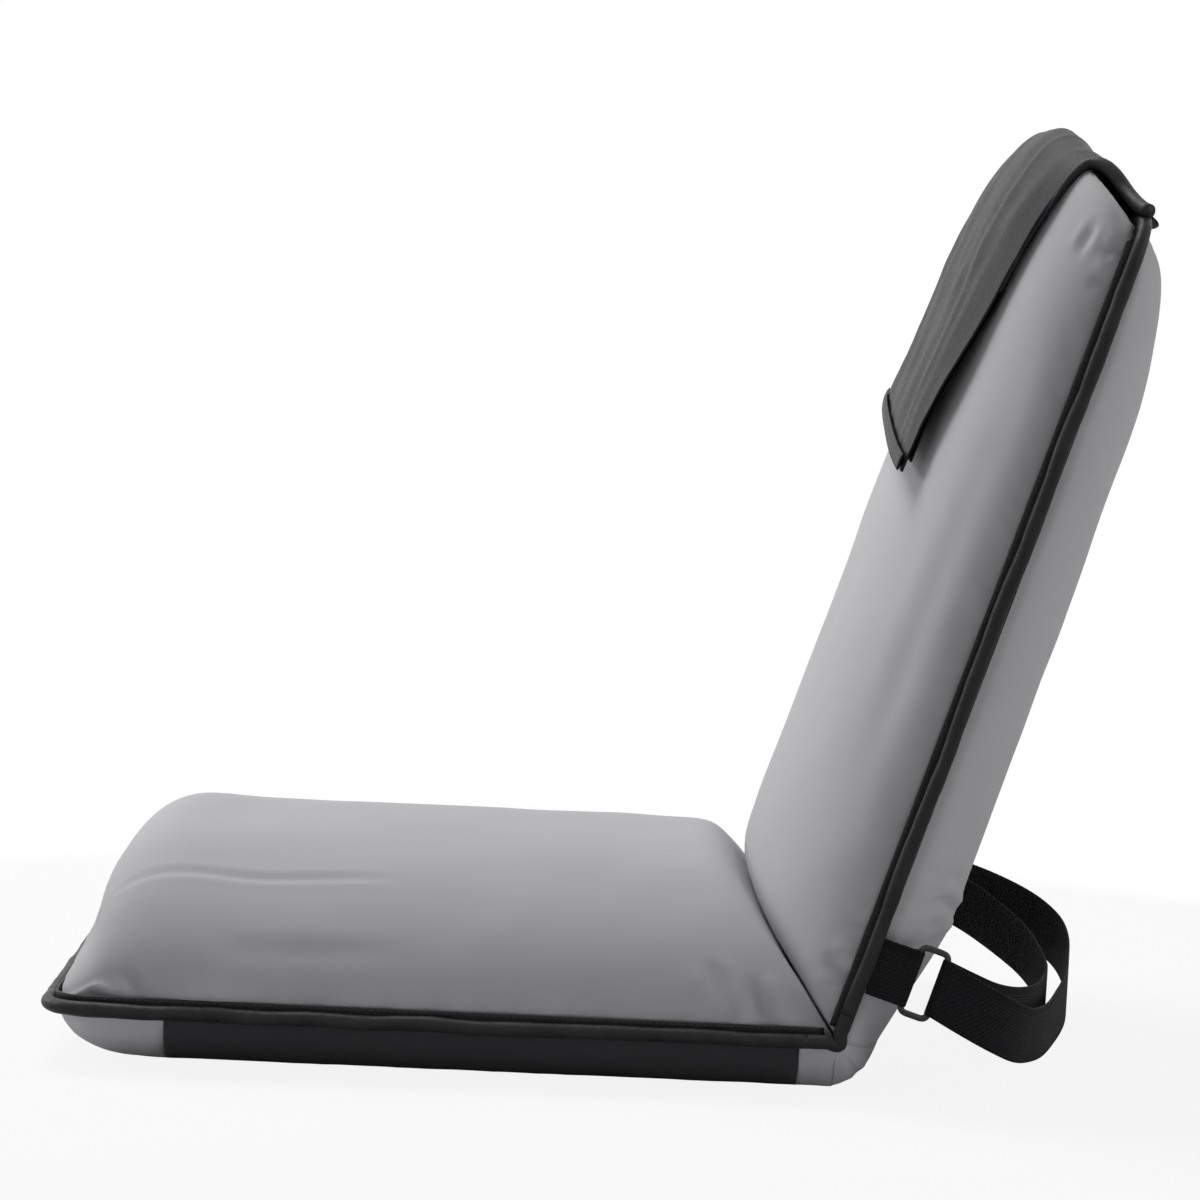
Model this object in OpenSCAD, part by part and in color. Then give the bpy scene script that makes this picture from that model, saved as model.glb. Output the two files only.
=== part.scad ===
/* [Seat] */
// Width of the chair over its piping
chair_w = 530; // [480:5:600]
// Length of the seat from the hinge axis to the front piping
seat_l = 540; // [480:5:600]
// Height of the seat's crown above its piping
seat_crown = 104; // [85:1:120]
// Depth of the seat's underside below its piping
seat_depth = 41; // [38:1:50]

/* [Backrest] */
// Length of the backrest from the hinge axis to the top piping
back_l = 597; // [540:5:660]
// Height of the backrest's crown in front of its piping
back_crown = 79; // [65:1:95]
// Depth of the padded rear behind the piping
back_depth = 58; // [50:1:64]
// Depth that the padded rear gains from its top to its foot
rear_swell = 8; // [0:1:12]
// How far the padding swells past the seam at the top
top_swell = 58; // [30:1:70]
// Recline of the backrest from upright, in degrees
recline = 17.6; // [14:0.2:22]

/* [Covers and padding] */
// Thickness of the plush covers
cover_t = 3; // [2:0.5:4]
// Clearance between a cover and what it holds
soft_gap = 0.4; // [0.3:0.1:0.8]
// Width of the crease between seat and backrest
crease_gap = 2; // [1:0.5:4]

/* [Piping] */
// Diameter of the piping
piping_d = 10; // [8:1:12]
// Radius of the piping's outer corners
corner_r = 36; // [30:1:45]
// Width of the seam tape sewn in under the piping
tape_w = 12; // [8:1:16]
// Thickness of the seam tape
tape_t = 1; // [0.6:0.2:1.4]

/* [Underside panel] */
// Distance from the hinge axis to the near edge of the panel
panel_start = 25; // [20:1:40]
// Distance from the panel's far edge to the front piping's outer edge
front_room = 85; // [75:1:110]

/* [Frame] */
// Diameter of the frame tubes
tube_d = 16; // [15:0.5:18]
// Wall of the frame tubes
tube_wall = 1.2; // [1:0.1:1.4]
// Distance from the side piping to a side tube's centre
frame_inset = 50; // [46:1:60]
// Distance from the end piping to the end tube's centre
frame_end_inset = 50; // [46:1:60]
// Radius of the frame's bends at the tube's centre
bend_r = 55; // [40:1:70]
// Diameter of the cross bars
bar_d = 12; // [10:1:13]
// Thickness of the support cloth stretched over the frame
support_t = 1.6; // [1:0.2:2]

/* [Hinge] */
// Radius of the toothed sector
sector_r = 17; // [16.5:0.1:17.5]
// Thickness of the sector
sector_t = 4; // [3.5:0.1:4.5]
// Thickness of each hinge plate
plate_t = 2; // [1.6:0.1:2.2]
// Radius of the pivot rivet
pivot_r = 4; // [3.5:0.1:5]
// Width of the arms that plug into the tubes
arm_w = 9; // [8:0.2:9.4]
// Length of the arms from the hinge axis
arm_l = 72; // [66:1:80]
// Depth of the notches in the sector
notch_depth = 2.4; // [2.2:0.1:2.8]
// Width of the notches in the sector
notch_w = 3.6; // [3.4:0.1:3.8]
// Angle that the pawl turns to engage, in degrees
pawl_turn = 7; // [5:0.5:7]

/* [Head flap] */
// Width of the flap that hangs over the top
flap_w = 390; // [320:5:420]
// How far the flap hangs down in front
flap_drop = 200; // [160:1:260]
// How far the flap reaches down behind
flap_tail = 24; // [20:1:40]
// Thickness of the flap
flap_t = 1.6; // [1.2:0.1:2]
// Width of the flap's hem
hem_w = 10; // [6:1:14]

/* [Carry strap] */
// Width of the webbing
strap_w = 40; // [34:1:44]
// Thickness of the webbing
strap_t = 1.8; // [1.4:0.1:2]
// Distance from the hinge axis to the strap's stubs, along the backrest
stub_at = 58; // [54:1:66]
// Distance from the piping to a ring's front bar
stub_l = 26; // [22:1:32]
// How far the strap's loop reaches behind its rings
strap_reach = 130; // [110:1:150]
// Length of a ring's opening
ring_slot_l = 43; // [41:0.5:48]
// Width of a ring's opening
ring_slot_w = 17; // [15:0.5:20]
// Diameter of a ring's bars
ring_bar_d = 4; // [3:0.2:4.6]

/* [Hidden] */
$fn = 48;

// Colours, as the photo shows them
plush = [0.62, 0.61, 0.63];
black_cloth = [0.1, 0.1, 0.11];
flap_black = [0.16, 0.16, 0.17];
webbing = [0.11, 0.11, 0.12];
foam_cream = [0.93, 0.88, 0.72];
steel = [0.6, 0.61, 0.63];
dark_steel = [0.3, 0.3, 0.32];

// One overrun serves all cuts
overrun = 1;
// Planar fit between rigid pieces, and running fit on a pin
plate_gap = 0.3;
pin_gap = 0.05;
fit_gap = 0.3;

piping_r = piping_d / 2;
tube_r = tube_d / 2;
bar_r = bar_d / 2;

// The origin is the centre of the underside panel, on the floor
panel_end = seat_l - front_room;
hinge_y = (panel_start + panel_end) / 2;
hinge_z = seat_depth;
hinge_x = chair_w / 2 - frame_inset;

// Shape of the cushions: exponents of the crown across and along, and of the undersides
crown_power = 3;
crown_end_power = 9.4;
back_end_power = 16;
under_power = 10;
rear_power = 4;
rear_end_power = 6;
// The padded rear's depth at its foot, and the distance over which it reaches its full depth
rear_foot = back_depth * 0.86;
rear_rise = back_depth * 1.6;
// How early the swell sets in above the top seam, for the cushion and for the flap over it
cushion_onset = 3.5;
flap_onset = 2;
// Rise of the underside's full curve over the flat that it is cut to
flat_rise_share = 1.06;
// The covers' full outlines run on past the hinge, where the crease cuts them
run_on = 60;

cover_w = chair_w - 2 * piping_d - 2 * fit_gap;
cover_corner_r = corner_r - piping_d - fit_gap;
crease_turn = (90 + recline) / 2;
// Turn of the gusset from straight down to the backrest's rear
gusset_turn = 90 - recline;

corner_steps = 8;
// Columns of a cushion across its half width, and rows from its crease to its end
col_shares = [-1, -0.985, -0.95, -0.88, -0.76, -0.6, -0.4, -0.2, 0, 0.2, 0.4, 0.6, 0.76, 0.88, 0.95, 0.985, 1];
crease_rise_shares = [0, 0.35, 0.7, 1];
row_shares = [0.06, 0.14, 0.26, 0.4, 0.54, 0.67, 0.78, 0.86, 0.92, 0.96, 0.985, 0.996, 1];
// Padding keeps the columns and rows of the cover over it, up to these shares
foam_edge_share = 0.96;
foam_end_share = 0.99;
foam_col_shares = [for (u = col_shares) if (abs(u) < foam_edge_share) u];
foam_row_shares = [for (s = row_shares) if (s < foam_end_share) s];
// Length of side seam over which the crease's wall closes
crease_close = 6;

// Frames of the two halves: x across, y away from the hinge, z towards the sitter
module in_seat() {
    translate([0, hinge_y, hinge_z])
        rotate([0, 0, 180])
            children();
}

module in_back() {
    translate([0, hinge_y, hinge_z])
        rotate([90 - recline, 0, 0])
            children();
}

module both_sides() {
    for (side = [-1, 1])
        translate([side * hinge_x, 0, 0])
            children();
}

function end_of(l) = l - piping_d - fit_gap;
function foot_l(l) = end_of(l) + run_on;
function foot_c(l) = foot_l(l) / 2 - run_on;

function arc_points(cx, cy, r, a) = [
    for (i = [0:corner_steps])
        [cx + r * cos(a + 90 * i / corner_steps), cy + r * sin(a + 90 * i / corner_steps)]
];

// Outline of a half's end, with round corners, from the hinge axis outwards
module end_outline(half, end, r) {
    polygon(concat([[-half, 0], [half, 0]], arc_points(half - r, end - r, r, 0),
        arc_points(r - half, end - r, r, 90)));
}

// Height share of a crown at a point whose shares of the half width and half length are u and v
function crown_share(u, v, across, along) =
    sqrt(max(0, 1 - pow(abs(u), across))) * sqrt(max(0, 1 - pow(abs(v), along)));

// Half width of a cover's outline at a distance from the hinge
function half_at(y, l, inset) =
    let (
        r = cover_corner_r - inset,
        past = max(0, y - end_of(l) + inset + r)
    )
    cover_w / 2 - inset - r + sqrt(max(0, r * r - past * past));

seam_z = tape_t / 2;

// A form is a half's length, its crown's height, its swell past the end and its end's exponent
seat_form = [seat_l, seat_crown, 0, crown_end_power];
back_form = [back_l, back_crown, top_swell, back_end_power];

function crown_v(y, form, inset) = (y - foot_c(form[0])) / (foot_l(form[0]) / 2 - inset);

function crown_z(u, y, form, inset) =
    seam_z + (form[1] - seam_z - inset)
        * crown_share(u, crown_v(y, form, inset), crown_power, form[3]);

// Swell past the end seam, largest at the crest and none at the seam
function swell_at(u, v, swell, power, onset) =
    let (q = crown_share(0, max(0, v), power, power))
    swell * crown_share(u, 0, crown_power, crown_power) * pow(q, onset) * (1 - q)
        * (onset + 1) * pow((onset + 1) / onset, onset);

function swelled(u, y, form, inset) =
    y + (form[2] == 0 ? 0
        : swell_at(u, crown_v(y, form, inset), form[2] - inset, form[3], cushion_onset));

// Where the crease lies at a height, and where the crown's top meets it
function crease_y(z, inset) =
    (z * cos(crease_turn) + crease_gap / 2 + inset) / sin(crease_turn);

function crease_top(u, form, inset, left, y) =
    left == 0 ? y : crease_top(u, form, inset, left - 1, crease_y(crown_z(u, y, form, inset), inset));

crease_passes = 5;

function crown_start(u, form, inset) =
    abs(u) == 1
        ? crease_y(seam_z, inset) + crease_close
        : crease_top(u, form, inset, crease_passes, run_on);

// The crease's wall starts above the hinges, or halfway up where the crown is low
function crease_point(u, q, form, inset) =
    let (
        l = form[0],
        start = crown_start(u, form, inset),
        top = crown_z(u, start, form, inset),
        foot = min(hinge_room_r, (seam_z + top) / 2),
        z = foot + q * (top - foot)
    )
    abs(u) == 1
        ? [u * half_at(0, l, inset), crease_y(seam_z, inset) + q * crease_close, seam_z]
        : [u * half_at(0, l, inset), crease_y(z, inset), z];

function crown_at(u, s, form, inset) =
    let (
        start = crown_start(u, form, inset),
        y = start + s * (end_of(form[0]) - inset - start)
    )
    [u * half_at(y, form[0], inset), y,
        s == 1 || abs(u) == 1 ? seam_z : crown_z(u, y, form, inset)];

function crown_point(u, s, form, inset) =
    let (p = crown_at(u, s, form, inset))
    [p[0], s == 1 || abs(u) == 1 ? p[1] : swelled(u, p[1], form, inset), p[2]];

function cushion_grid(form, inset) = concat(
    [for (q = crease_rise_shares) [for (u = col_shares) crease_point(u, q, form, inset)]],
    [for (s = row_shares) [for (u = col_shares) crown_point(u, s, form, inset)]]
);

// Solid between two grids of points that have the same rows and columns
module cloth(top, bottom) {
    rows = len(top);
    cols = len(top[0]);
    size = rows * cols;
    function at(i, j) = i * cols + j;
    polyhedron(
        points = concat([for (row = top) each row], [for (row = bottom) each row]),
        faces = concat(
            [for (i = [0:rows - 2]) for (j = [0:cols - 2])
                each [[at(i, j), at(i + 1, j), at(i, j + 1)],
                    [at(i, j + 1), at(i + 1, j), at(i + 1, j + 1)]]],
            [for (i = [0:rows - 2]) for (j = [0:cols - 2])
                each [[size + at(i, j), size + at(i, j + 1), size + at(i + 1, j)],
                    [size + at(i, j + 1), size + at(i + 1, j + 1), size + at(i + 1, j)]]],
            [for (i = [0:rows - 2])
                each [[at(i, 0), size + at(i, 0), at(i + 1, 0)],
                    [at(i + 1, 0), size + at(i, 0), size + at(i + 1, 0)],
                    [at(i, cols - 1), at(i + 1, cols - 1), size + at(i, cols - 1)],
                    [at(i + 1, cols - 1), size + at(i + 1, cols - 1), size + at(i, cols - 1)]]],
            [for (j = [0:cols - 2])
                each [[at(0, j), at(0, j + 1), size + at(0, j)],
                    [at(0, j + 1), size + at(0, j + 1), size + at(0, j)],
                    [at(rows - 1, j), size + at(rows - 1, j), at(rows - 1, j + 1)],
                    [at(rows - 1, j + 1), size + at(rows - 1, j), size + at(rows - 1, j + 1)]]]
        )
    );
}

// Hinge hardware, as shares of a hinge plate's thickness
head_share = 0.8;
spring_share = 2.4;
rim_share = 1.5;
room_share = 2;
pawl_pin_share = 0.75;
// Lever's length as a share of the sector's radius, nose's width as a share of a notch's width
lever_share = 0.82;
nose_share = 0.6;
// Length of an arm inside its tube, as a share of the arm's width
plug_share = 2.85;
rivet_head_share = 1.8;

hinge_stack = sector_t + 2 * plate_gap + 2 * plate_t;
plate_r = sector_r + plate_t * rim_share;
hinge_room_r = plate_r + plate_t * room_share;
head_t = plate_t * head_share;
spring_l = plate_t * spring_share;

module top_cover(form) {
    cloth(cushion_grid(form, 0), cushion_grid(form, cover_t));
}

foam_base = tube_r + fit_gap + support_t + fit_gap;
foam_inset = cover_t + soft_gap;

// The foam swells less than its cover by a cover's thickness
function foam_form(form) = [form[0], form[1], max(0, form[2] - cover_t), form[3]];

// Its last row has no swell, so that its end face stays inside the cover
foam_last_row = foam_row_shares[len(foam_row_shares) - 1];

function foam_point(u, s, form) = s == foam_last_row
    ? crown_at(u, s, form, foam_inset)
    : crown_point(u, s, foam_form(form), foam_inset);

// The foam's foot starts beside the hinges
module foam_block(form) {
    cloth(
        concat(
            [[for (u = foam_col_shares) crease_point(u, 1, form, foam_inset)]],
            [for (s = foam_row_shares)
                [for (u = foam_col_shares) foam_point(u, s, form)]]
        ),
        concat(
            [[for (u = foam_col_shares)
                [u * half_at(0, form[0], foam_inset), hinge_room_r, foam_base]]],
            [for (s = foam_row_shares)
                [for (u = foam_col_shares)
                    let (p = crown_at(u, s, form, foam_inset))
                    [p[0], p[1], foam_base]]]
        )
    );
}

// The seat's underside: shares of its half width beside the flat
flat_share = pow(1 - 1 / (flat_rise_share * flat_rise_share), 1 / under_power);
side_shares = [1, 0.99, 0.965, 0.93, 0.88, flat_share];
under_cols = concat([for (s = side_shares) -s], [for (i = [len(side_shares) - 1:-1:0]) side_shares[i]]);

function under_z(u, fall, inset) =
    -seam_z - (seat_depth - seam_z - inset)
        * (abs(u) == 1 ? 0 : min(1, flat_rise_share * crown_share(u, 0, under_power, under_power)) * fall);

function under_profile(inset) = [
    for (u = under_cols) [u * (cover_w / 2 - inset), under_z(u, 1, inset)]
];

function backwards(p) = [for (i = [len(p) - 1:-1:0]) p[i]];

module seat_under_shell(from, to) {
    translate([0, to, 0])
        rotate([90, 0, 0])
            linear_extrude(to - from)
                polygon(concat(under_profile(0), backwards(under_profile(cover_t))));
}

// The front strip curves up from the panel's end to the front piping
front_shares = [0, 0.2, 0.4, 0.58, 0.73, 0.85, 0.93, 0.98, 1];
front_power = 3;

function front_grid(inset) = [
    for (s = front_shares)
        let (y = panel_end + s * (end_of(seat_l) - inset - panel_end))
        [for (u = under_cols)
            [u * half_at(y, seat_l, inset), y, under_z(u, sqrt(1 - pow(s, front_power)), inset)]]
];

// The backrest's padded rear
rear_row_shares = [
    0, 0.04, 0.08, 0.12, 0.17, 0.25, 0.36, 0.5, 0.63, 0.74, 0.83, 0.9, 0.95, 0.98, 0.995, 1
];

function eased(t) = t <= 0 ? 0 : t >= 1 ? 1 : t * t * (3 - 2 * t);

// The rear is deepest just above its foot
function rear_depth(y) =
    rear_foot + (back_depth + rear_swell * (1 - y / back_l) - rear_foot) * eased(y / rear_rise);

function rear_z(u, y, inset) =
    -seam_z - (rear_depth(y) - seam_z - inset)
        * crown_share(u, (y - foot_c(back_l)) / (foot_l(back_l) / 2 - inset), rear_power,
            rear_end_power);

function rear_grid(inset) = [
    for (s = rear_row_shares)
        let (y = s * (end_of(back_l) - inset))
        [for (u = col_shares)
            [u * half_at(y, back_l, inset), y, s == 1 || abs(u) == 1 ? -seam_z : rear_z(u, y, inset)]]
];

// The two halves' pipings clear each other when the chair is folded up
piping_start = piping_r / tan(recline) + fit_gap;

module piping(l) {
    x = chair_w / 2 - corner_r;
    for (side = [-1, 1])
        translate([side * (chair_w / 2 - piping_r), piping_start, 0])
            rotate([-90, 0, 0])
                cylinder(h = l - corner_r - piping_start, r = piping_r);
    for (side = [0, 1])
        translate([(1 - 2 * side) * x, l - corner_r, 0])
            rotate([0, 0, 90 * side])
                rotate_extrude(angle = 90)
                    translate([corner_r - piping_r, 0])
                        circle(r = piping_r);
    translate([-x, l - piping_r, 0])
        rotate([0, 90, 0])
            cylinder(h = 2 * x, r = piping_r);
}

// Seam tape between a half's upper and lower covers, just inside the piping
module seam_tape(l) {
    half = cover_w / 2;
    r = cover_corner_r;
    translate([0, 0, -tape_t / 2])
        linear_extrude(tape_t)
            difference() {
                end_outline(half, end_of(l), r);
                end_outline(half - tape_w, end_of(l) - tape_w, r - tape_w);
                translate([-chair_w / 2, -overrun])
                    square([chair_w, overrun + piping_start]);
            }
}

tube_start = arm_l - arm_w * plug_share;

module u_path(end, r, start) {
    x = hinge_x - bend_r;
    for (side = [-1, 1])
        translate([side * hinge_x, start, 0])
            rotate([-90, 0, 0])
                cylinder(h = end - bend_r - start, r = r);
    for (side = [0, 1])
        translate([(1 - 2 * side) * x, end - bend_r, 0])
            rotate([0, 0, 90 * side])
                rotate_extrude(angle = 90)
                    translate([bend_r, 0])
                        circle(r = r);
    translate([-x, end, 0])
        rotate([0, 90, 0])
            cylinder(h = 2 * x, r = r);
}

tube_rivet_r = plate_t;
tube_rivet_at = (tube_start + arm_l) / 2;

module rivet_hole(r) {
    translate([0, tube_rivet_at, 0])
        rotate([0, 90, 0])
            cylinder(h = 2 * tube_d, r = r, center = true);
}

module frame_tube(l) {
    end = l - frame_end_inset;
    difference() {
        u_path(end, tube_r, tube_start);
        u_path(end, tube_r - tube_wall, tube_start - overrun);
        both_sides() rivet_hole(tube_rivet_r + pin_gap);
    }
}

bar_shares = [0.36, 0.7];

module cross_bars(l) {
    w = 2 * (hinge_x - tube_r - fit_gap);
    for (share = bar_shares)
        translate([-w / 2, share * l, 0])
            rotate([0, 90, 0])
                difference() {
                    cylinder(h = w, r = bar_r);
                    translate([0, 0, -overrun])
                        cylinder(h = w + 2 * overrun, r = bar_r - tube_wall);
                }
}

module support_cloth(l) {
    from = tube_start + tube_d;
    translate([-hinge_x - tube_r, from, tube_r + fit_gap])
        cube([2 * (hinge_x + tube_r), l - frame_end_inset + tube_r - from, support_t]);
}

pad_half_w = hinge_x - tube_d;
pad_start = tube_start + tube_d;
pad_top = -bar_r - fit_gap;

// Hinge: the pawl's pivot and nose, in the plane across the hinge axis
nose_dir = 60;
nose_w = notch_w * nose_share;
nose_clear = plate_gap + pin_gap;
nose_l = notch_depth + plate_t;
lever_t = 2 * plate_t;
lever_l = sector_r * lever_share;
lever_r = sector_r + nose_clear + nose_l + lever_t / 2;
pawl_pin_r = plate_t * pawl_pin_share;
nose_shift = (lever_r - sector_r) * sin(pawl_turn);
notch_steps = 4;
tooth_pitch = (90 - recline) / notch_steps;

// In the hinge's plane: x towards the seat's front, y up
module at_nose() {
    rotate(-nose_dir)
        children();
}

module pawl_outline() {
    at_nose() {
        difference() {
            union() {
                translate([lever_r - lever_t / 2, 0])
                    square([lever_t, lever_l]);
                translate([lever_r, lever_l])
                    circle(r = lever_t);
                translate([sector_r + nose_clear, -nose_w / 2])
                    square([nose_l + lever_t / 2, nose_w]);
            }
            translate([lever_r, lever_l])
                circle(r = pawl_pin_r + pin_gap);
        }
    }
}

module sector_outline() {
    difference() {
        union() {
            circle(r = sector_r);
            rotate(90 + recline)
                translate([0, -arm_w / 2])
                    square([arm_l, arm_w]);
        }
        circle(r = pivot_r + pin_gap);
        for (k = [-notch_steps:notch_steps])
            rotate(-nose_dir + atan(nose_shift / sector_r) - k * tooth_pitch)
                translate([sector_r - notch_depth, -notch_w / 2])
                    square([2 * notch_depth, notch_w]);
        rotate(90 + recline)
            translate([tube_rivet_at, 0])
                circle(r = tube_rivet_r + pin_gap);
    }
}

module plate_outline() {
    difference() {
        union() {
            circle(r = plate_r);
            translate([0, -arm_w / 2])
                square([arm_l, arm_w]);
            at_nose()
                translate([lever_r, lever_l])
                    circle(r = 2 * lever_t);
        }
        circle(r = pivot_r + pin_gap);
        at_nose()
            translate([lever_r, lever_l])
                circle(r = pawl_pin_r + pin_gap);
        translate([tube_rivet_at, 0])
            circle(r = tube_rivet_r + pin_gap);
    }
}

// Plate of a thickness, centred across on a distance from the hinge's middle
module hinge_plate(t, across) {
    translate([across, 0, 0])
        rotate([90, 0, 90])
            linear_extrude(t, center = true)
                children();
}

module at_hinge(side) {
    translate([side * hinge_x, hinge_y, hinge_z])
        mirror([0, 1, 0])
            children();
}

module hinge_plates(side) {
    d = sector_t / 2 + plate_gap + plate_t / 2;
    at_hinge(side)
        for (across = [-d, d])
            hinge_plate(plate_t, across) plate_outline();
}

module headed_pin(r, l, head_r) {
    rotate([0, 90, 0]) {
        cylinder(h = l + 2 * pin_gap, r = r, center = true);
        for (end = [-1, 1])
            translate([0, 0, end * (l / 2 + pin_gap + head_t / 2)])
                cylinder(h = head_t, r = head_r, center = true);
    }
}

module at_pawl_pin() {
    rotate([-nose_dir, 0, 0])
        translate([0, lever_r, lever_l])
            children();
}

module tube_rivets() {
    both_sides()
        translate([0, tube_rivet_at, 0])
            headed_pin(tube_rivet_r, tube_d, tube_rivet_r * rivet_head_share);
}

// Webbing, rings and stubs, in the backrest's frame
stub_x = chair_w / 2 - piping_d + strap_t;
bar_z = -piping_r - stub_l;
ring_bar_r = ring_bar_d / 2;
loop_r = ring_bar_r + fit_gap;
rear_bar_z = bar_z - ring_slot_w - ring_bar_d;

module strap_stub(side) {
    in_back()
        translate([side * stub_x, stub_at - strap_w / 2, 0]) {
            translate([loop_r * side + (side - 1) * strap_t / 2, 0, bar_z])
                cube([strap_t, strap_w, -bar_z - piping_r - fit_gap]);
            translate([0, 0, bar_z])
                rotate([-90, 0, 0])
                    difference() {
                        cylinder(h = strap_w, r = loop_r + strap_t);
                        translate([0, 0, -overrun])
                            cylinder(h = strap_w + 2 * overrun, r = loop_r);
                    }
        }
}

module strap_ring(side) {
    half = ring_slot_l / 2 + ring_bar_r;
    in_back()
        translate([side * stub_x, stub_at, 0]) {
            for (z = [bar_z, rear_bar_z])
                translate([0, -half, z])
                    rotate([-90, 0, 0])
                        cylinder(h = 2 * half, r = ring_bar_r);
            for (y = [-half, half])
                translate([0, y, rear_bar_z])
                    cylinder(h = bar_z - rear_bar_z, r = ring_bar_r);
            for (z = [bar_z, rear_bar_z])
                for (y = [-half, half])
                    translate([0, y, z])
                        sphere(r = ring_bar_r);
        }
}

// Rear bar's middle beside the hinge axis, in the chair's frame
rear_bar_y = stub_at * sin(recline) - rear_bar_z * cos(recline);
rear_bar_up = stub_at * cos(recline) + rear_bar_z * sin(recline) + hinge_z;
strap_low = strap_w / 2 + fit_gap;
strap_off = loop_r + strap_t / 2;

// Routes: shares of the half width, of the reach, and of the height from floor to bar
strap_route_shares = [
    [1, 0, 1], [0.985, 0.17, 0.79], [0.925, 0.34, 0.57], [0.81, 0.49, 0.37], [0.63, 0.62, 0.25],
    [0.41, 0.745, 0.19], [0.17, 0.86, 0.2], [-0.08, 0.96, 0.28], [-0.32, 1.01, 0.42],
    [-0.53, 0.98, 0.58], [-0.71, 0.83, 0.75], [-0.86, 0.52, 0.95], [-0.96, 0.22, 1.03], [-1, 0, 1]
];
return_route_shares = [
    [1, 0, 1], [0.965, 0.15, 0.84], [0.88, 0.3, 0.67], [0.74, 0.45, 0.53], [0.55, 0.59, 0.42],
    [0.33, 0.71, 0.35], [0.1, 0.785, 0.35], [-0.14, 0.8, 0.42], [-0.36, 0.74, 0.55],
    [-0.56, 0.62, 0.7], [-0.74, 0.46, 0.85], [-0.87, 0.28, 0.96], [-0.955, 0.13, 1.01], [-1, 0, 1]
];

function smooth_at(p, i, t) =
    let (
        a = p[max(0, i - 1)],
        b = p[i],
        c = p[i + 1],
        d = p[min(len(p) - 1, i + 2)]
    )
    (2 * b + (c - a) * t + (2 * a - 5 * b + 4 * c - d) * t * t
        + (3 * b - a - 3 * c + d) * t * t * t) / 2;

route_steps = 3;

function smooth(p) = concat(
    [for (i = [0:len(p) - 2]) for (k = [0:route_steps - 1]) smooth_at(p, i, k / route_steps)],
    [p[len(p) - 1]]
);

function placed(shares, off) = [
    for (s = shares)
        [s[0] * (stub_x + off), hinge_y + rear_bar_y + s[1] * strap_reach,
            strap_low + s[2] * (rear_bar_up - strap_low)]
];

function unit(v) = v / norm(v);

module ribbon(shares, off) {
    line = smooth(placed(shares, off));
    last = len(line) - 1;
    function across(i) =
        let (lean = recline * pow(line[i][0] / (stub_x + off), 2))
        [0, sin(lean), cos(lean)] * strap_w / 2;
    function out(i) =
        unit(cross(line[min(last, i + 1)] - line[max(0, i - 1)], across(i))) * strap_t / 2;
    cloth(
        [for (i = [0:last]) [line[i] + across(i) + out(i), line[i] - across(i) + out(i)]],
        [for (i = [0:last]) [line[i] + across(i) - out(i), line[i] - across(i) - out(i)]]
    );
}

// Flap: grid over the top, standing off the covers by a distance, further in front
flap_off = 2;
flap_ease = 4;
// Half width of the flap at the top seam, as a share of the cover's half width
flap_root_share = 0.9;
flap_root = flap_root_share * cover_w / 2;
flap_col_shares = [-1, -0.9, -0.75, -0.58, -0.4, -0.2, 0, 0.2, 0.4, 0.58, 0.75, 0.9, 1];
flap_front_shares = [0, 0.12, 0.25, 0.4, 0.55, 0.68, 0.78, 0.86, 0.92, 0.96, 0.985, 0.997, 1];
flap_rear_shares = [0.99, 0.96, 0.88, 0.76, 0.6, 0.4, 0.2, 0];

function over_half(off) = foot_l(back_l) / 2 + piping_d + fit_gap + off;
function along_share(down, off) = (back_l - down - foot_c(back_l)) / over_half(off);

// The flap widens from its crest to the top seam
function flap_half(v) =
    let (q = crown_share(0, max(0, v), back_end_power, back_end_power))
    flap_w / 2 + (flap_root - flap_w / 2) * max(0, 1 - q * (flap_onset + 1) / flap_onset);

function front_point(c, v, off) =
    let (
        x = c * flap_half(v),
        u = 2 * x / (cover_w + 2 * off)
    )
    [x, foot_c(back_l) + v * over_half(off)
        + swell_at(u, v, top_swell + off, back_end_power, flap_onset),
        (back_crown + flap_ease + off) * crown_share(u, v, crown_power, back_end_power)];

function rear_point(c, v, off) =
    let (
        x = c * flap_root,
        y = foot_c(back_l) + v * over_half(off)
    )
    [x, y, -(rear_depth(y) + off)
        * crown_share(2 * x / (cover_w + 2 * off), v, rear_power, rear_end_power)];

function flap_grid(off) =
    let (front = along_share(flap_drop, off), rear = along_share(flap_tail, off))
    concat(
        [for (s = flap_front_shares)
            [for (c = flap_col_shares) front_point(c, front + (1 - front) * s, off)]],
        [for (s = flap_rear_shares)
            [for (c = flap_col_shares) rear_point(c, rear + (1 - rear) * s, off)]]
    );

function band_grid(off, from, to, rear) = [
    for (down = [from, (from + to) / 2, to])
        [for (c = flap_col_shares)
            rear ? rear_point(c, along_share(down, off), off)
                : front_point(c, along_share(down, off), off)]
];

// Gusset: height shares of the seat's underside and of the backrest's rear at the hinge
gusset_col_shares = [-0.985, -0.95, -0.88, -0.75, -0.55, -0.28, 0, 0.28, 0.55, 0.75, 0.88, 0.95, 0.985];
gusset_steps = 8;
// Turn that leaves a fit between the gusset and the covers sewn to it
gusset_gap_turn = atan(fit_gap / seat_depth);

function gusset_radius(u, k, inset) =
    let (
        seat_r = min(seat_depth, seat_depth * flat_rise_share * crown_share(u, 0, under_power, 2)),
        back_r = rear_foot * crown_share(u, foot_c(back_l) / (foot_l(back_l) / 2), rear_power,
            rear_end_power)
    )
    seat_r + (back_r - seat_r) * k - inset;

function gusset_grid(inset) = [
    for (i = [0:gusset_steps])
        [for (u = gusset_col_shares)
            let (
                k = i / gusset_steps,
                a = gusset_gap_turn + (gusset_turn - 2 * gusset_gap_turn) * k,
                r = gusset_radius(u, k, inset)
            )
            [u * (cover_w / 2 - inset), hinge_y + r * sin(a), hinge_z - r * cos(a)]]
];

// Seat

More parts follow.
